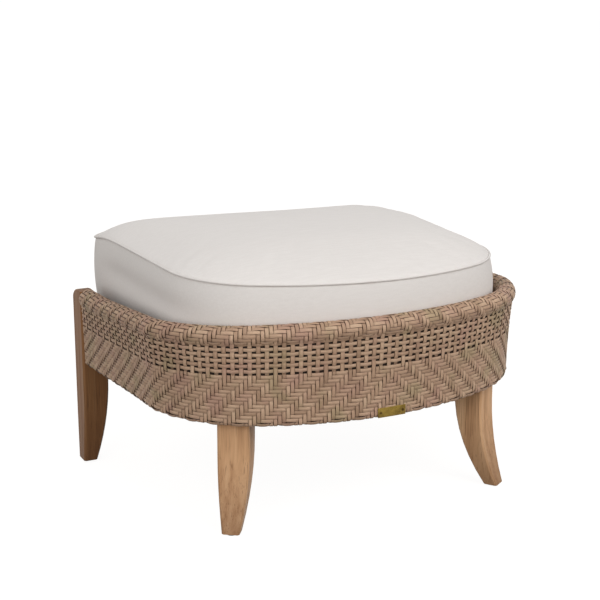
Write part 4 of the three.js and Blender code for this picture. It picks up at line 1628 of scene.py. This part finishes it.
@dataclass
class Fasteners:
    """The bolts of the legs and the screws of the back rail."""

    finish: Material
    scatter: Scatter
    front_bolt: Screw = Screw(0.006, 0.0045, 0.003, 0.0458)
    back_bolt: Screw = Screw(0.006, 0.0045, 0.003, 0.034)
    rail_screw: Screw = Screw(0.0045, 0.0025, 0.0025, 0.024)
    front_foot: tuple[float, float] = (0.254, -0.2218)
    front_turn: float = math.radians(35.0)
    front_reach: float = 0.0703
    heights: tuple[float, float] = (0.224, 0.247)
    back_spot: tuple[float, float] = (0.34913, 0.17657)
    tab_face: float = 0.3224
    screw_spots: tuple[tuple[float, float], ...] = ((0.19237, 0.2384), (0.22197, 0.2724))

    def build(self) -> None:
        """Makes the three sets."""
        front, back, rail = [], [], []
        for side in (-1, 1):
            heading = (-side * math.sin(self.front_turn), math.cos(self.front_turn), 0.0)
            x = side * self.front_foot[0] + heading[0] * self.front_reach
            y = self.front_foot[1] + heading[1] * self.front_reach
            front += [((x, y, z), heading) for z in self.heights]
            x, y = side * self.back_spot[0], self.back_spot[1]
            back += [((x, y, z), (0.0, -1.0, 0.0)) for z in self.heights]
            rail += [((side * self.tab_face, y, z), (-side, 0.0, 0.0)) for y, z in self.screw_spots]
        for name, screw, spots, node in (
            ("front_leg_bolts", self.front_bolt, front, "front_{}_leg_bolt_{}"),
            ("back_leg_bolts", self.back_bolt, back, "back_{}_leg_bolt_{}"),
            ("back_rail_screws", self.rail_screw, rail, "back_{}_rail_screw_{}"),
        ):
            nodes = [node.format(side, number) for side in SIDES for number in (1, 2)]
            places, axes = zip(*spots)
            shape = screw.shape(self.finish)
            made = self.scatter.apply(name, list(places), list(axes), shape, self.finish)
            dressed(made, "frame", Slot.STEEL, *nodes)


@dataclass
class Deck:
    """The deck of interlaced straps, whose ends turn down over the seat rail and the back rail."""

    form: BandForm
    finish: Material
    width: float = 0.045
    thickness: float = 0.002
    low: float = 0.2857
    tip: float = 0.2694
    gap: float = 0.0003
    ramp: float = 0.012
    level_run: float = 0.002
    rail_inset: float = 0.01097
    back_end: float = 0.21797
    end_clear: float = 0.008
    long_places: tuple[float, ...] = (-0.2, -0.12, -0.04, 0.04, 0.12, 0.2)
    cross_places: tuple[float, ...] = (-0.1348, -0.0448, 0.0452, 0.1352)
    turn_radius: float = 0.0018
    ease: float = 0.0006
    step: float = 0.005
    across_points: int = 9
    down_points: int = 4
    turn_points: int = 5
    rail_samples: int = 2000

    def rail_ends(self, places: Points, across: int) -> Points:
        """Where straps reach the rail's outer side.

        Args:
            places: where they are across their run, in x for long straps and y for cross straps.
            across: 0 for long straps, 1 for cross straps.

        Returns:
            The run's end: y for long straps, x for cross straps.
        """
        lengths = np.linspace(0.0, self.form.line.half, self.rail_samples)
        points, outward = self.form.line.place(lengths)
        line = points - outward * self.rail_inset
        wanted = np.abs(places) if across == 0 else places
        return np.interp(wanted, line[:, across], line[:, 1 - across])

    def rise(self, along: float, over: list[float]) -> float:
        """How far a strap climbs over those that it crosses above.

        Args:
            along: a place along the strap.
            over: where the straps that it crosses above are.

        Returns:
            Its height above the level run.
        """
        half = self.width / 2 + self.level_run
        reach = half + self.ramp
        shares = [min(1.0, max(0.0, (reach - abs(along - middle)) / self.ramp)) for middle in over]
        share = max([0.0, *shares])
        return (self.thickness + self.gap) * share * share * (3 - 2 * share)

    def strap(self, middle: float, across: int, over: list[float]) -> Points:
        """Draws a strap's middle sheet.

        Args:
            middle: the strap's place across its run.
            across: 0 for long straps, 1 for cross straps.
            over: where the straps that it crosses above are.

        Returns:
            A grid of points, by run and by width.
        """
        places = middle + np.linspace(-self.width / 2, self.width / 2, self.across_points)
        level = np.ones(self.across_points)
        ends = self.rail_ends(places, across)
        firsts, lasts = (ends, level * self.back_end) if across == 0 else (-ends, ends)
        half, flat = self.thickness / 2, self.low + self.thickness / 2
        turns = np.radians(np.linspace(0.0, 90.0, self.turn_points))[1:]
        sides = []
        for edge, sign in ((firsts, -1), (lasts, 1)):
            out = edge + sign * half
            top = flat - self.turn_radius
            end = [(out, level * z) for z in np.linspace(self.tip, top, self.down_points)]
            for turn in turns:
                reach = self.turn_radius * (1 - math.cos(turn))
                height = flat - self.turn_radius * (1 - math.sin(turn))
                end.append((out - sign * reach, level * height))
            sides.append(end)
        start, stop = firsts.max() + self.end_clear, lasts.min() - self.end_clear
        run = [
            (level * along, level * (flat + self.rise(along, over)))
            for along in np.arange(start, stop, self.step)
        ]
        grid = [
            np.column_stack([places, along, height] if across == 0 else [along, places, height])
            for along, height in sides[0] + run + sides[1][::-1]
        ]
        return np.array(grid)

    def build(self) -> None:
        """Makes all of the straps as one piece."""
        points, faces, nodes = [], [], []
        count = 0
        for places, across, others, word in (
            (self.long_places, 0, self.cross_places, "long"),
            (self.cross_places, 1, self.long_places, "cross"),
        ):
            for number, middle in enumerate(places):
                over = [spot for k, spot in enumerate(others) if (number + k) % 2 == across]
                grid = self.strap(middle, across, over)
                strip = grid_faces(*grid.shape[:2], count)
                faces += [face[::-1] for face in strip] if across == 0 else strip
                points.append(grid.reshape(-1, 3))
                count += len(points[-1])
                nodes.append(f"deck_strap_{word}_{number + 1}")
        made = mesh_object("deck_straps", np.concatenate(points), faces, self.finish)
        made = thickened(made, self.thickness, ease=self.ease)
        dressed(made, "frame", Slot.WEBBING, *nodes)


@dataclass
class Apron:
    """The woven apron round the back rail."""

    finish: Material
    sweep: Sweep
    columns: int = 93
    rows: int = 20
    inset: float = 0.0017
    corner: float = 0.004
    corner_points: int = 6
    upright_width: float = 0.0066
    level_width: float = 0.0064
    thickness: float = 0.0012
    rise: float = 0.0006
    crown: float = 0.0003
    seed: int = 11

    def build(self) -> None:
        """Weaves down the outer face, under the rail and up the inner face."""
        (left, front, low), (right, back, high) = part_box("back_apron")
        front, back, low = front + self.inset, back - self.inset, low + self.inset
        turns = np.radians(np.linspace(0.0, 90.0, self.corner_points))
        near = [self.corner * (1 - math.cos(turn)) for turn in turns]
        far = [self.corner * (1 - math.sin(turn)) for turn in turns]
        outer = [(back - a, low + b) for a, b in zip(near, far)]
        inner = [(front + b, low + a) for a, b in zip(near, far)]
        section = spaced(np.array([(back, high), *outer, *inner, (front, high)]), 2 * self.rows + 1)
        across = np.linspace(left, right, 2 * self.columns + 1)
        grid = np.array([np.column_stack([np.full(len(section), x), section]) for x in across])
        random = np.random.default_rng(self.seed)
        patch = Patch(grid, Weave.TWILL, 0, rise=self.rise, crown=self.crown)
        uprights = Strands("back_apron_uprights", self.upright_width, self.thickness)
        patch.uprights(uprights, random.random(self.columns), np.ones(self.columns))
        levels = Strands("back_apron_levels", self.level_width, self.thickness)
        patch.levels(levels, random.random(self.rows))
        for strands in (uprights, levels):
            dressed(strands.swept(self.sweep, self.finish), "frame", Slot.RESIN, "back_apron")


@dataclass
class BlankPlate:
    """The two pins of the blank brass plate on the skirt."""

    finish: Material
    scatter: Scatter
    spread: float = 0.0208
    pin: float = 0.0024
    profile: tuple[tuple[float, float], ...] = ((0.3, 0.62), (0.75, 0.45), (1.0, 0.0), (1.0, -0.6))
    corners: int = 16
    sunk: float = 0.0003
    slope: float = 0.02

    def build(self) -> None:
        """Puts the pins on the plate's face."""
        (left, front, low), (right, _, high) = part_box("brass_plate")
        middle, height = (left + right) / 2, (low + high) / 2
        rings = [(self.pin * radius, self.pin * rise, False) for radius, rise in self.profile]
        shape = lathed("pin_shape", rings, self.finish, self.corners)
        places = [(middle + side * self.spread, front + self.sunk, height) for side in (-1, 1)]
        axes = [(self.slope * side, -1.0, 0.0) for side in (-1, 1)]
        made = self.scatter.apply("brass_pins", places, axes, shape, self.finish)
        dressed(made, "frame", Slot.BRASS)


@dataclass
class Zip:
    """The zip in the cushion's back: two tapes, the closed teeth, the slider and its pull."""

    cloth: Material
    steel: Material
    scatter: Scatter
    slit: float = 0.0012
    tape: float = 0.001
    tape_columns: int = 81
    tape_rows: int = 4
    pitch: float = 0.0021
    end_clear: float = 0.006
    stagger: float = 0.0006
    tooth_depth: float = 0.0011
    tooth_height: float = 0.0027
    tooth_profile: tuple[tuple[float, float], ...] = (
        (0.28, 0.5), (0.52, 0.42), (0.52, -0.42), (0.28, -0.5),
    )
    tooth_corners: int = 8
    pull_corners: int = 48
    pull_square: float = 0.45
    pull_waist: float = 0.18
    pull_ease: float = 0.0003
    eye_rise: float = 0.55
    eye_size: tuple[float, float] = (0.42, 0.2)

    def build(self) -> None:
        """Makes the zip's three pieces."""
        (left, inner, low), (right, outer, high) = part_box("zip_tape")
        middle = (low + high) / 2
        self.tapes(left, right, inner, (low, middle - self.slit / 2, middle + self.slit / 2, high))
        deep, tall = self.tooth_depth, self.tooth_height
        rings = [(deep * radius, tall * rise, False) for radius, rise in self.tooth_profile]
        shape = lathed("tooth_shape", rings, self.cloth, self.tooth_corners)
        count = int((right - left - 2 * self.end_clear) / self.pitch)
        back = outer - deep * self.tooth_profile[1][0]
        places = []
        for number in range(count):
            x = left + self.end_clear + (number + 0.5) * self.pitch
            places.append((x, back, middle + (self.stagger if number % 2 else -self.stagger)))
        made = self.scatter.apply("zip_teeth", places, [(0.0, 0.0, 1.0)] * count, shape, self.cloth)
        dressed(made, "cushion", Slot.ZIP)
        self.pull()

    def tapes(self, left: float, right: float, inner: float, edges: tuple[float, ...]) -> None:
        """Makes the two tapes, below and above the teeth.

        Args:
            left: where they start.
            right: where they end.
            inner: the place of their inner face.
            edges: the heights of the lower tape's edges and of the upper one's.
        """
        points, faces = [], []
        for bottom, top in (edges[:2], edges[2:]):
            faces += grid_faces(self.tape_columns, self.tape_rows, len(points))
            heights = np.linspace(bottom, top, self.tape_rows)
            for x in np.linspace(left, right, self.tape_columns):
                points += [(x, inner + self.tape / 2, z) for z in heights]
        made = mesh_object("zip_tapes", np.array(points), faces, self.cloth)
        dressed(thickened(made, self.tape), "cushion", Slot.ZIP, "zip_tape")

    def pull(self) -> None:
        """Makes the pull: a flat tab with an eye at its top."""
        (left, inner, low), (right, outer, high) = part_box("zip_pull")
        middle = np.array([(left + right) / 2, (low + high) / 2])
        half = np.array([(right - left) / 2, (high - low) / 2])
        turns = np.linspace(0.0, 2 * math.pi, self.pull_corners + 1)[:-1]
        ring = np.column_stack([np.cos(turns), np.sin(turns)])
        soft = np.sign(ring) * np.abs(ring) ** self.pull_square
        waist = 1 - self.pull_waist * np.clip(soft[:, 1:], 0.0, 1.0)
        rim = middle + soft * half * np.column_stack([waist, np.ones_like(waist)])
        hole = ring * half * np.array(self.eye_size)
        eye = middle + np.array([0.0, half[1] * self.eye_rise]) + hole
        points = [(x, (inner + outer) / 2, z) for x, z in np.concatenate([rim, eye])]
        faces = ring_faces(0, self.pull_corners, self.pull_corners)
        made = mesh_object("zip_pull_tab", np.array(points), faces, self.steel)
        made = thickened(made, outer - inner, ease=self.pull_ease)
        dressed(made, "zip_pull", Slot.STEEL, "zip_pull")


# Cushion


@dataclass
class Cushion:
    """The loose box cushion: a crowned cover with a welt along each seam."""

    finish: Material
    sweep: Sweep
    front_y: float = -0.2568
    bow: tuple[float, float] = (0.497, 24.3)
    corner: tuple[float, float] = (0.160, 63.2)
    back_y: float = 0.2852
    back_radius: float = 0.036
    back_points: int = 10
    plan_step: float = 0.006
    probe: float = 0.001
    ear: float = 0.0095 * math.sqrt(0.5)
    ear_reach: float = 0.08
    base: float = 0.2903
    seam: float = 0.4105
    edge: float = 0.004
    side_rings: int = 18
    crown: float = 0.0392
    crown_power: float = 3.64
    right_power: float = 6.4
    right_run: float = 0.28
    right_end: tuple[float, float] = (0.24, 0.12)
    crown_round: float = 0.82
    crown_rings: int = 40
    crown_span: tuple[float, float] = (0.02, 0.97)
    crown_spacing: float = 1.5
    puff: float = 0.008
    back_puff: float = 0.0035
    back_puff_run: tuple[float, float] = (0.06, 0.05)
    tilt: float = -0.0233
    left_droop: tuple[float, float, float] = (0.0105, 0.05, -0.32)
    right_droop: tuple[float, float, float] = (0.009, 0.06, 0.27)
    fold: tuple[float, float, float] = (0.0048, 0.362, 0.019)
    fold_start: tuple[float, float] = (0.19, 0.09)
    fold_end: tuple[float, float] = (0.24, 0.08)
    fold_side: tuple[float, float] = (0.23, 0.04)
    welt: float = 0.0021
    welt_out: float = 0.3
    voxel: float = 0.0055
    pressure: float = 4.0
    quality: int = 5
    frames: int = 20
    cap: float = 0.007
    smoothing: int = 3
    held_reach: float = 0.006
    zip_hold: tuple[float, float, float] = (0.22, 0.012, 0.014)

    def plan(self, out: float) -> Points:
        """The cushion's plan as a closed loop.

        Args:
            out: how far it is offset outwards.

        Returns:
            The loop's points, anticlockwise from the front left.
        """
        heading = math.radians(self.bow[1] + self.corner[1])
        side_end = self.back_y - self.back_radius * (1 + math.cos(heading))
        line = PlanLine(self.front_y, (self.bow, self.corner), side_end)
        lengths = np.linspace(-line.half, line.half, int(2 * line.half / self.plan_step))
        points, outward = line.place(lengths)
        side = points + outward * out
        last = line.place(np.array([line.half]))[0][0]
        x, y = last + self.back_radius * np.array([-math.sin(heading), math.cos(heading)])
        turns = np.linspace(heading, math.pi, self.back_points)[1:]
        reach = self.back_radius + out
        corner = np.column_stack([x + reach * np.sin(turns), y - reach * np.cos(turns)])
        x, y = corner[-1]
        across = np.linspace(x, -x, int(2 * x / self.plan_step))[1:-1]
        back = np.column_stack([across, np.full(len(across), y)])
        mirror = corner[::-1] * np.array([-1.0, 1.0])
        loop = np.concatenate([side, corner, back, mirror])
        away = np.hypot(np.abs(loop[:, 0]) - last[0], loop[:, 1] - self.back_y)
        pull = self.ear * bell(away, self.ear_reach)
        return loop + np.column_stack([np.sign(loop[:, 0]) * pull, pull])

    def tilted(self, points: Points) -> Points:
        """Raises points as the cushion is plumper on its left, and lowers its drooping corners.

        Args:
            points: points in their untilted places, which are changed.

        Returns:
            The same points.
        """
        share = np.clip((points[:, 2] - self.base) / (self.seam - self.base), 0.0, 1.0)
        bend = self.tilt * points[:, 0]
        for low, reach, middle in (self.left_droop, self.right_droop):
            away = np.hypot(points[:, 0] - middle, points[:, 1] - self.back_y)
            bend -= low * bell(away, reach)
        points[:, 2] += bend * share
        return points

    def side_puff(self, loop: Points) -> Points:
        """How far the side stands out half way up.

        Args:
            loop: the points of the plan.

        Returns:
            The reach at each point, less towards the back.
        """
        before, run = self.back_puff_run
        share = ramped(loop[:, 1] - self.back_y, -before, run)
        return self.puff + (self.back_puff - self.puff) * share

    def rings(self) -> list[Points]:
        """Draws the cushion's rings, from the base over the sides to the crown.

        Returns:
            The rings' points.
        """
        inner = self.plan(0.0)
        outward = self.plan(self.probe) - inner
        outward /= np.linalg.norm(outward, axis=1, keepdims=True)
        puff = self.side_puff(inner)
        level = np.ones(len(inner))
        rings = [np.column_stack([inner - outward * self.edge, level * self.base])]
        for share in np.linspace(0.0, 1.0, self.side_rings):
            bulge = puff * (1 - (2 * share - 1) ** 2)
            height = self.base + self.edge + share * (self.seam - self.base - self.edge)
            rings.append(np.column_stack([inner + outward * bulge[:, None], level * height]))
        middle = np.array([0.0, (self.front_y + self.back_y) / 2])
        end, run = self.right_end
        right = ramped(inner[:, 0], 0.0, self.right_run) * ramped(-inner[:, 1], -end, run)
        power = self.crown_power + (self.right_power - self.crown_power) * right
        for share in 1 - np.linspace(*self.crown_span, self.crown_rings) ** self.crown_spacing:
            rise = (1 - share**power) ** self.crown_round
            flat = middle + (inner - middle) * share
            rings.append(np.column_stack([flat, self.seam + self.crown * rise]))
        return [self.tilted(ring) for ring in rings]

    def cover(self) -> Object:
        """Closes the rings to the cover's form.

        Returns:
            The cover as a closed mesh.
        """
        rings = self.rings()
        size = len(rings[0])
        faces = []
        for level in range(len(rings) - 1):
            faces += ring_faces(level * size, (level + 1) * size, size)
        faces.append(tuple(reversed(range(size))))
        faces.append(tuple(range((len(rings) - 1) * size, len(rings) * size)))
        return mesh_object("cushion_cover_form", np.concatenate(rings), faces, self.finish)

    def seam_line(self, loop: Points, height: float) -> Points:
        """A plan loop at a height, tilted as the cushion is."""
        return self.tilted(np.column_stack([loop, np.full(len(loop), height)]))

    def held(self, points: Points) -> Points:
        """Finds which points of the cover stay put.

        Args:
            points: the cover's points.

        Returns:
            Whether each lies by a seam, under the cushion or round the zip.
        """
        loop = self.plan(0.0)
        heights = (self.base + self.edge, self.seam)
        seams = np.concatenate([self.seam_line(loop, height) for height in heights])
        tree = KDTree(len(seams))
        for number, seam in enumerate(seams):
            tree.insert(seam, number)
        tree.balance()
        near = np.array([tree.find(point)[2] < self.held_reach for point in points])
        half, depth, rise = self.zip_hold
        zip_high = (self.base + self.seam) / 2
        by_zip = (points[:, 1] > self.back_y - depth) & (np.abs(points[:, 2] - zip_high) < rise)
        under = points[:, 2] < self.base + self.edge
        return near | by_zip & (np.abs(points[:, 0]) < half) | under

    def blown(self, form: Object) -> Object:
        """A copy of the cover, blown up by cloth simulation between its held seams.

        Args:
            form: the cover's form.

        Returns:
            The simulated cover, as a plain mesh.
        """
        made = linked("cushion_cover_blown", form.data.copy())
        remesh = made.modifiers.new("remesh", "REMESH")
        remesh.mode = "VOXEL"
        remesh.voxel_size = self.voxel
        made_plain(made)
        rest = points_of(made.data)
        group = made.vertex_groups.new(name="held")
        group.add(np.flatnonzero(self.held(rest)).tolist(), 1.0, "REPLACE")
        cloth = made.modifiers.new("cloth", "CLOTH")
        cloth.settings.quality = self.quality
        cloth.settings.vertex_group_mass = group.name
        cloth.settings.use_pressure = True
        cloth.settings.uniform_pressure_force = self.pressure
        cloth.settings.effector_weights.gravity = 0.0
        cloth.point_cache.frame_start, cloth.point_cache.frame_end = 1, self.frames
        for frame in range(1, self.frames + 1):
            bpy.context.scene.frame_set(frame)
        evaluated = made.evaluated_get(bpy.context.evaluated_depsgraph_get())
        moved = points_of(evaluated.data) - rest
        made.modifiers.clear()
        bpy.context.scene.frame_set(1)
        length = np.linalg.norm(moved, axis=1, keepdims=True)
        farthest = 1000 * float(length.max())
        LOG.info("cushion cover: %d points, moved %.1f mm at most", len(rest), farthest)
        capped = rest + moved * (self.cap * np.tanh(length / self.cap) / np.maximum(length, TINY))
        capped[:, 0] += self.folded(capped)
        made.data.vertices.foreach_set("co", capped.astype(np.float32).ravel())
        made.data.update()
        made.modifiers.new("smooth", "SMOOTH").iterations = self.smoothing
        finer = made.modifiers.new("finer", "SUBSURF")
        finer.levels = finer.render_levels = 1
        return made_plain(made)

    def folded(self, points: Points) -> Points:
        """Draws the long soft fold in the left side.

        Args:
            points: the cover's points.

        Returns:
            How far each goes in along x.
        """
        depth, height, width = self.fold
        start, start_run = self.fold_start
        end, end_run = self.fold_end
        along = ramped(points[:, 1], -start, start_run) * ramped(-points[:, 1], -end, end_run)
        side_from, side_run = self.fold_side
        side = ramped(-points[:, 0], side_from, side_run)
        return depth * along * side * bell(points[:, 2] - height, width)

    def welts(self) -> Object:
        """Sweeps the two welts round the seams.

        Returns:
            Both welts as one plain mesh.
        """
        strands = Strands("cushion_welts", 2 * self.welt, 2 * self.welt)
        loop = self.plan(self.welt * self.welt_out)
        loop = np.concatenate([loop, loop[:1]])
        for height in (self.base + self.edge, self.seam):
            points = self.seam_line(loop, height)
            up = np.tile([0.0, 0.0, 1.0], (len(points), 1))
            strands.add(points, up, np.ones(len(points)), 0.5)
        return strands.swept(self.sweep, self.finish)

    def build(self) -> None:
        cover = self.cover()
        form = cover
        cover = self.blown(form)
        bpy.data.objects.remove(form)
        cover.name = cover.data.name = "cushion_top_cover"
        dressed(cover, "cushion", Slot.CLOTH, "cushion_cover", "cushion_core")
        dressed(self.welts(), "cushion", Slot.CLOTH, "cushion_welt_top", "cushion_welt_bottom")


# Stage


@dataclass(frozen=True)
class Lamp:
    """A soft square lamp that points at the ottoman."""

    name: str
    place: Spot
    size: float
    power: float
    aim: Spot = (0.0, 0.0, 0.3)

    def build(self) -> None:
        """Hangs the lamp."""
        data = bpy.data.lights.new(self.name, "AREA")
        data.size = self.size
        data.energy = self.power
        made = linked(self.name, data)
        made.location = self.place
        heading = Vector(self.aim) - Vector(self.place)
        made.rotation_euler = heading.to_track_quat("-Z", "Y").to_euler()


@dataclass(frozen=True)
class Studio:
    """The floor, the lamps, the world and the camera."""

    camera_place: Spot = (-1.113, -2.2958, 0.998)
    camera_turn: Spot = (75.15, 0.0, -25.37)
    focal_pixels: float = 1470.0
    sensor: float = 36.0
    shift_y: float = -0.0052
    floor_reach: float = 30.0
    floor_tint: Colour = tint(118, 113, 107)
    floor_glow: float = 0.93
    sky_light: float = 0.57
    lamps: tuple[Lamp, ...] = (
        Lamp("key", (1.2, -2.4, 2.2), 2.4, 42.5),
        Lamp("fill", (-2.4, -2.0, 1.4), 2.4, 31.5),
        Lamp("top", (0.0, 0.3, 3.2), 2.6, 4.0),
    )

    def camera(self) -> None:
        """Sets up the camera at the photograph's viewing angle."""
        data = bpy.data.cameras.new("camera")
        data.sensor_width = self.sensor
        data.sensor_fit = "HORIZONTAL"
        data.lens = self.focal_pixels * self.sensor / PHOTO_WIDTH
        data.shift_y = self.shift_y
        made = linked("camera", data)
        made.location = self.camera_place
        made.rotation_euler = Euler([math.radians(turn) for turn in self.camera_turn])
        bpy.context.scene.camera = made

    @staticmethod
    def seen(graph: Graph) -> Wire:
        """Where the camera looks, straight, in a reflection or through something clear.

        Args:
            graph: the tree that asks.

        Returns:
            1 for what is seen, and 0 for what only gives light.
        """
        rays = graph.node("ShaderNodeLightPath")
        mirrored = rays.math("MAXIMUM", rays, rays.beside("Is Glossy Ray"))
        return rays.math("MAXIMUM", mirrored, rays.beside("Is Transmission Ray"))

    def floor(self) -> None:
        """Lays a pale floor that keeps the shadow and is white to the camera where it is open."""
        reach = self.floor_reach
        corners = [(-reach, -reach, 0), (reach, -reach, 0), (reach, reach, 0), (-reach, reach, 0)]
        paint = Paint("floor")
        pale = paint.node("ShaderNodeBsdfDiffuse", None, {"Color": self.floor_tint})
        glowing = {"Color": WHITE, "Strength": self.seen(paint) * self.floor_glow}
        glow = paint.node("ShaderNodeEmission", None, glowing)
        both = paint.node("ShaderNodeAddShader", None, {0: pale, 1: glow})
        paint.node("ShaderNodeOutputMaterial", None, {0: both})
        made = mesh_object("floor", corners, [(0, 1, 2, 3)], paint.material)

    def world(self) -> None:
        """Sets up plain light from all round, which is white to the camera."""
        world = bpy.data.worlds.new("studio")
        bpy.context.scene.world = world
        world.use_nodes = True
        world.node_tree.nodes.clear()
        graph = Graph(world.node_tree)
        strength = self.seen(graph) * (1 - self.sky_light) + self.sky_light
        sky = graph.node("ShaderNodeBackground", None, {"Color": WHITE, "Strength": strength})
        graph.node("ShaderNodeOutputWorld", None, {0: sky})

    def build(self) -> None:
        """Sets up everything that isn't the ottoman."""
        self.camera()
        self.floor()
        self.world()
        for lamp in self.lamps:
            lamp.build()
        bpy.context.scene.view_settings.view_transform = "Standard"


def main() -> None:
    """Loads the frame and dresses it."""
    logging.basicConfig(level=logging.INFO, format="%(name)s: %(message)s")
    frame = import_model()
    finishes = make_finishes()
    slots = {part["node"]: Slot(part["material_slot"]) for part in frame["record"]["subparts"]}
    for name, node in frame["nodes"].items():
        node.data.materials.clear()
        node.data.materials.append(finishes[slots[name]])
    Studio().build()
    flat, round_cord = Sweep("flat_strand", True), Sweep("round_cord", False)
    scatter = Scatter()
    Band(BandForm(), finishes[Slot.RESIN], BAND_SHADE_SHEET.make(), flat).build()
    Apron(finishes[Slot.RESIN], flat).build()
    Deck(BandForm(), finishes[Slot.WEBBING]).build()
    # The back legs get the darker teak of painted shade.
    shaded_back_teak = SHADED_TEAK.make()
    for eased in eased_nodes():
        finish = shaded_back_teak if eased.node in BACK_LEGS else finishes[eased.slot]
        eased.build(frame["nodes"][eased.node], finish)
    Fasteners(finishes[Slot.STEEL], scatter).build()
    BlankPlate(DARK_BRASS.make(), scatter).build()
    Zip(finishes[Slot.ZIP], finishes[Slot.STEEL], scatter).build()
    Cushion(finishes[Slot.CLOTH], round_cord).build()


if __name__ == "__main__":
    main()
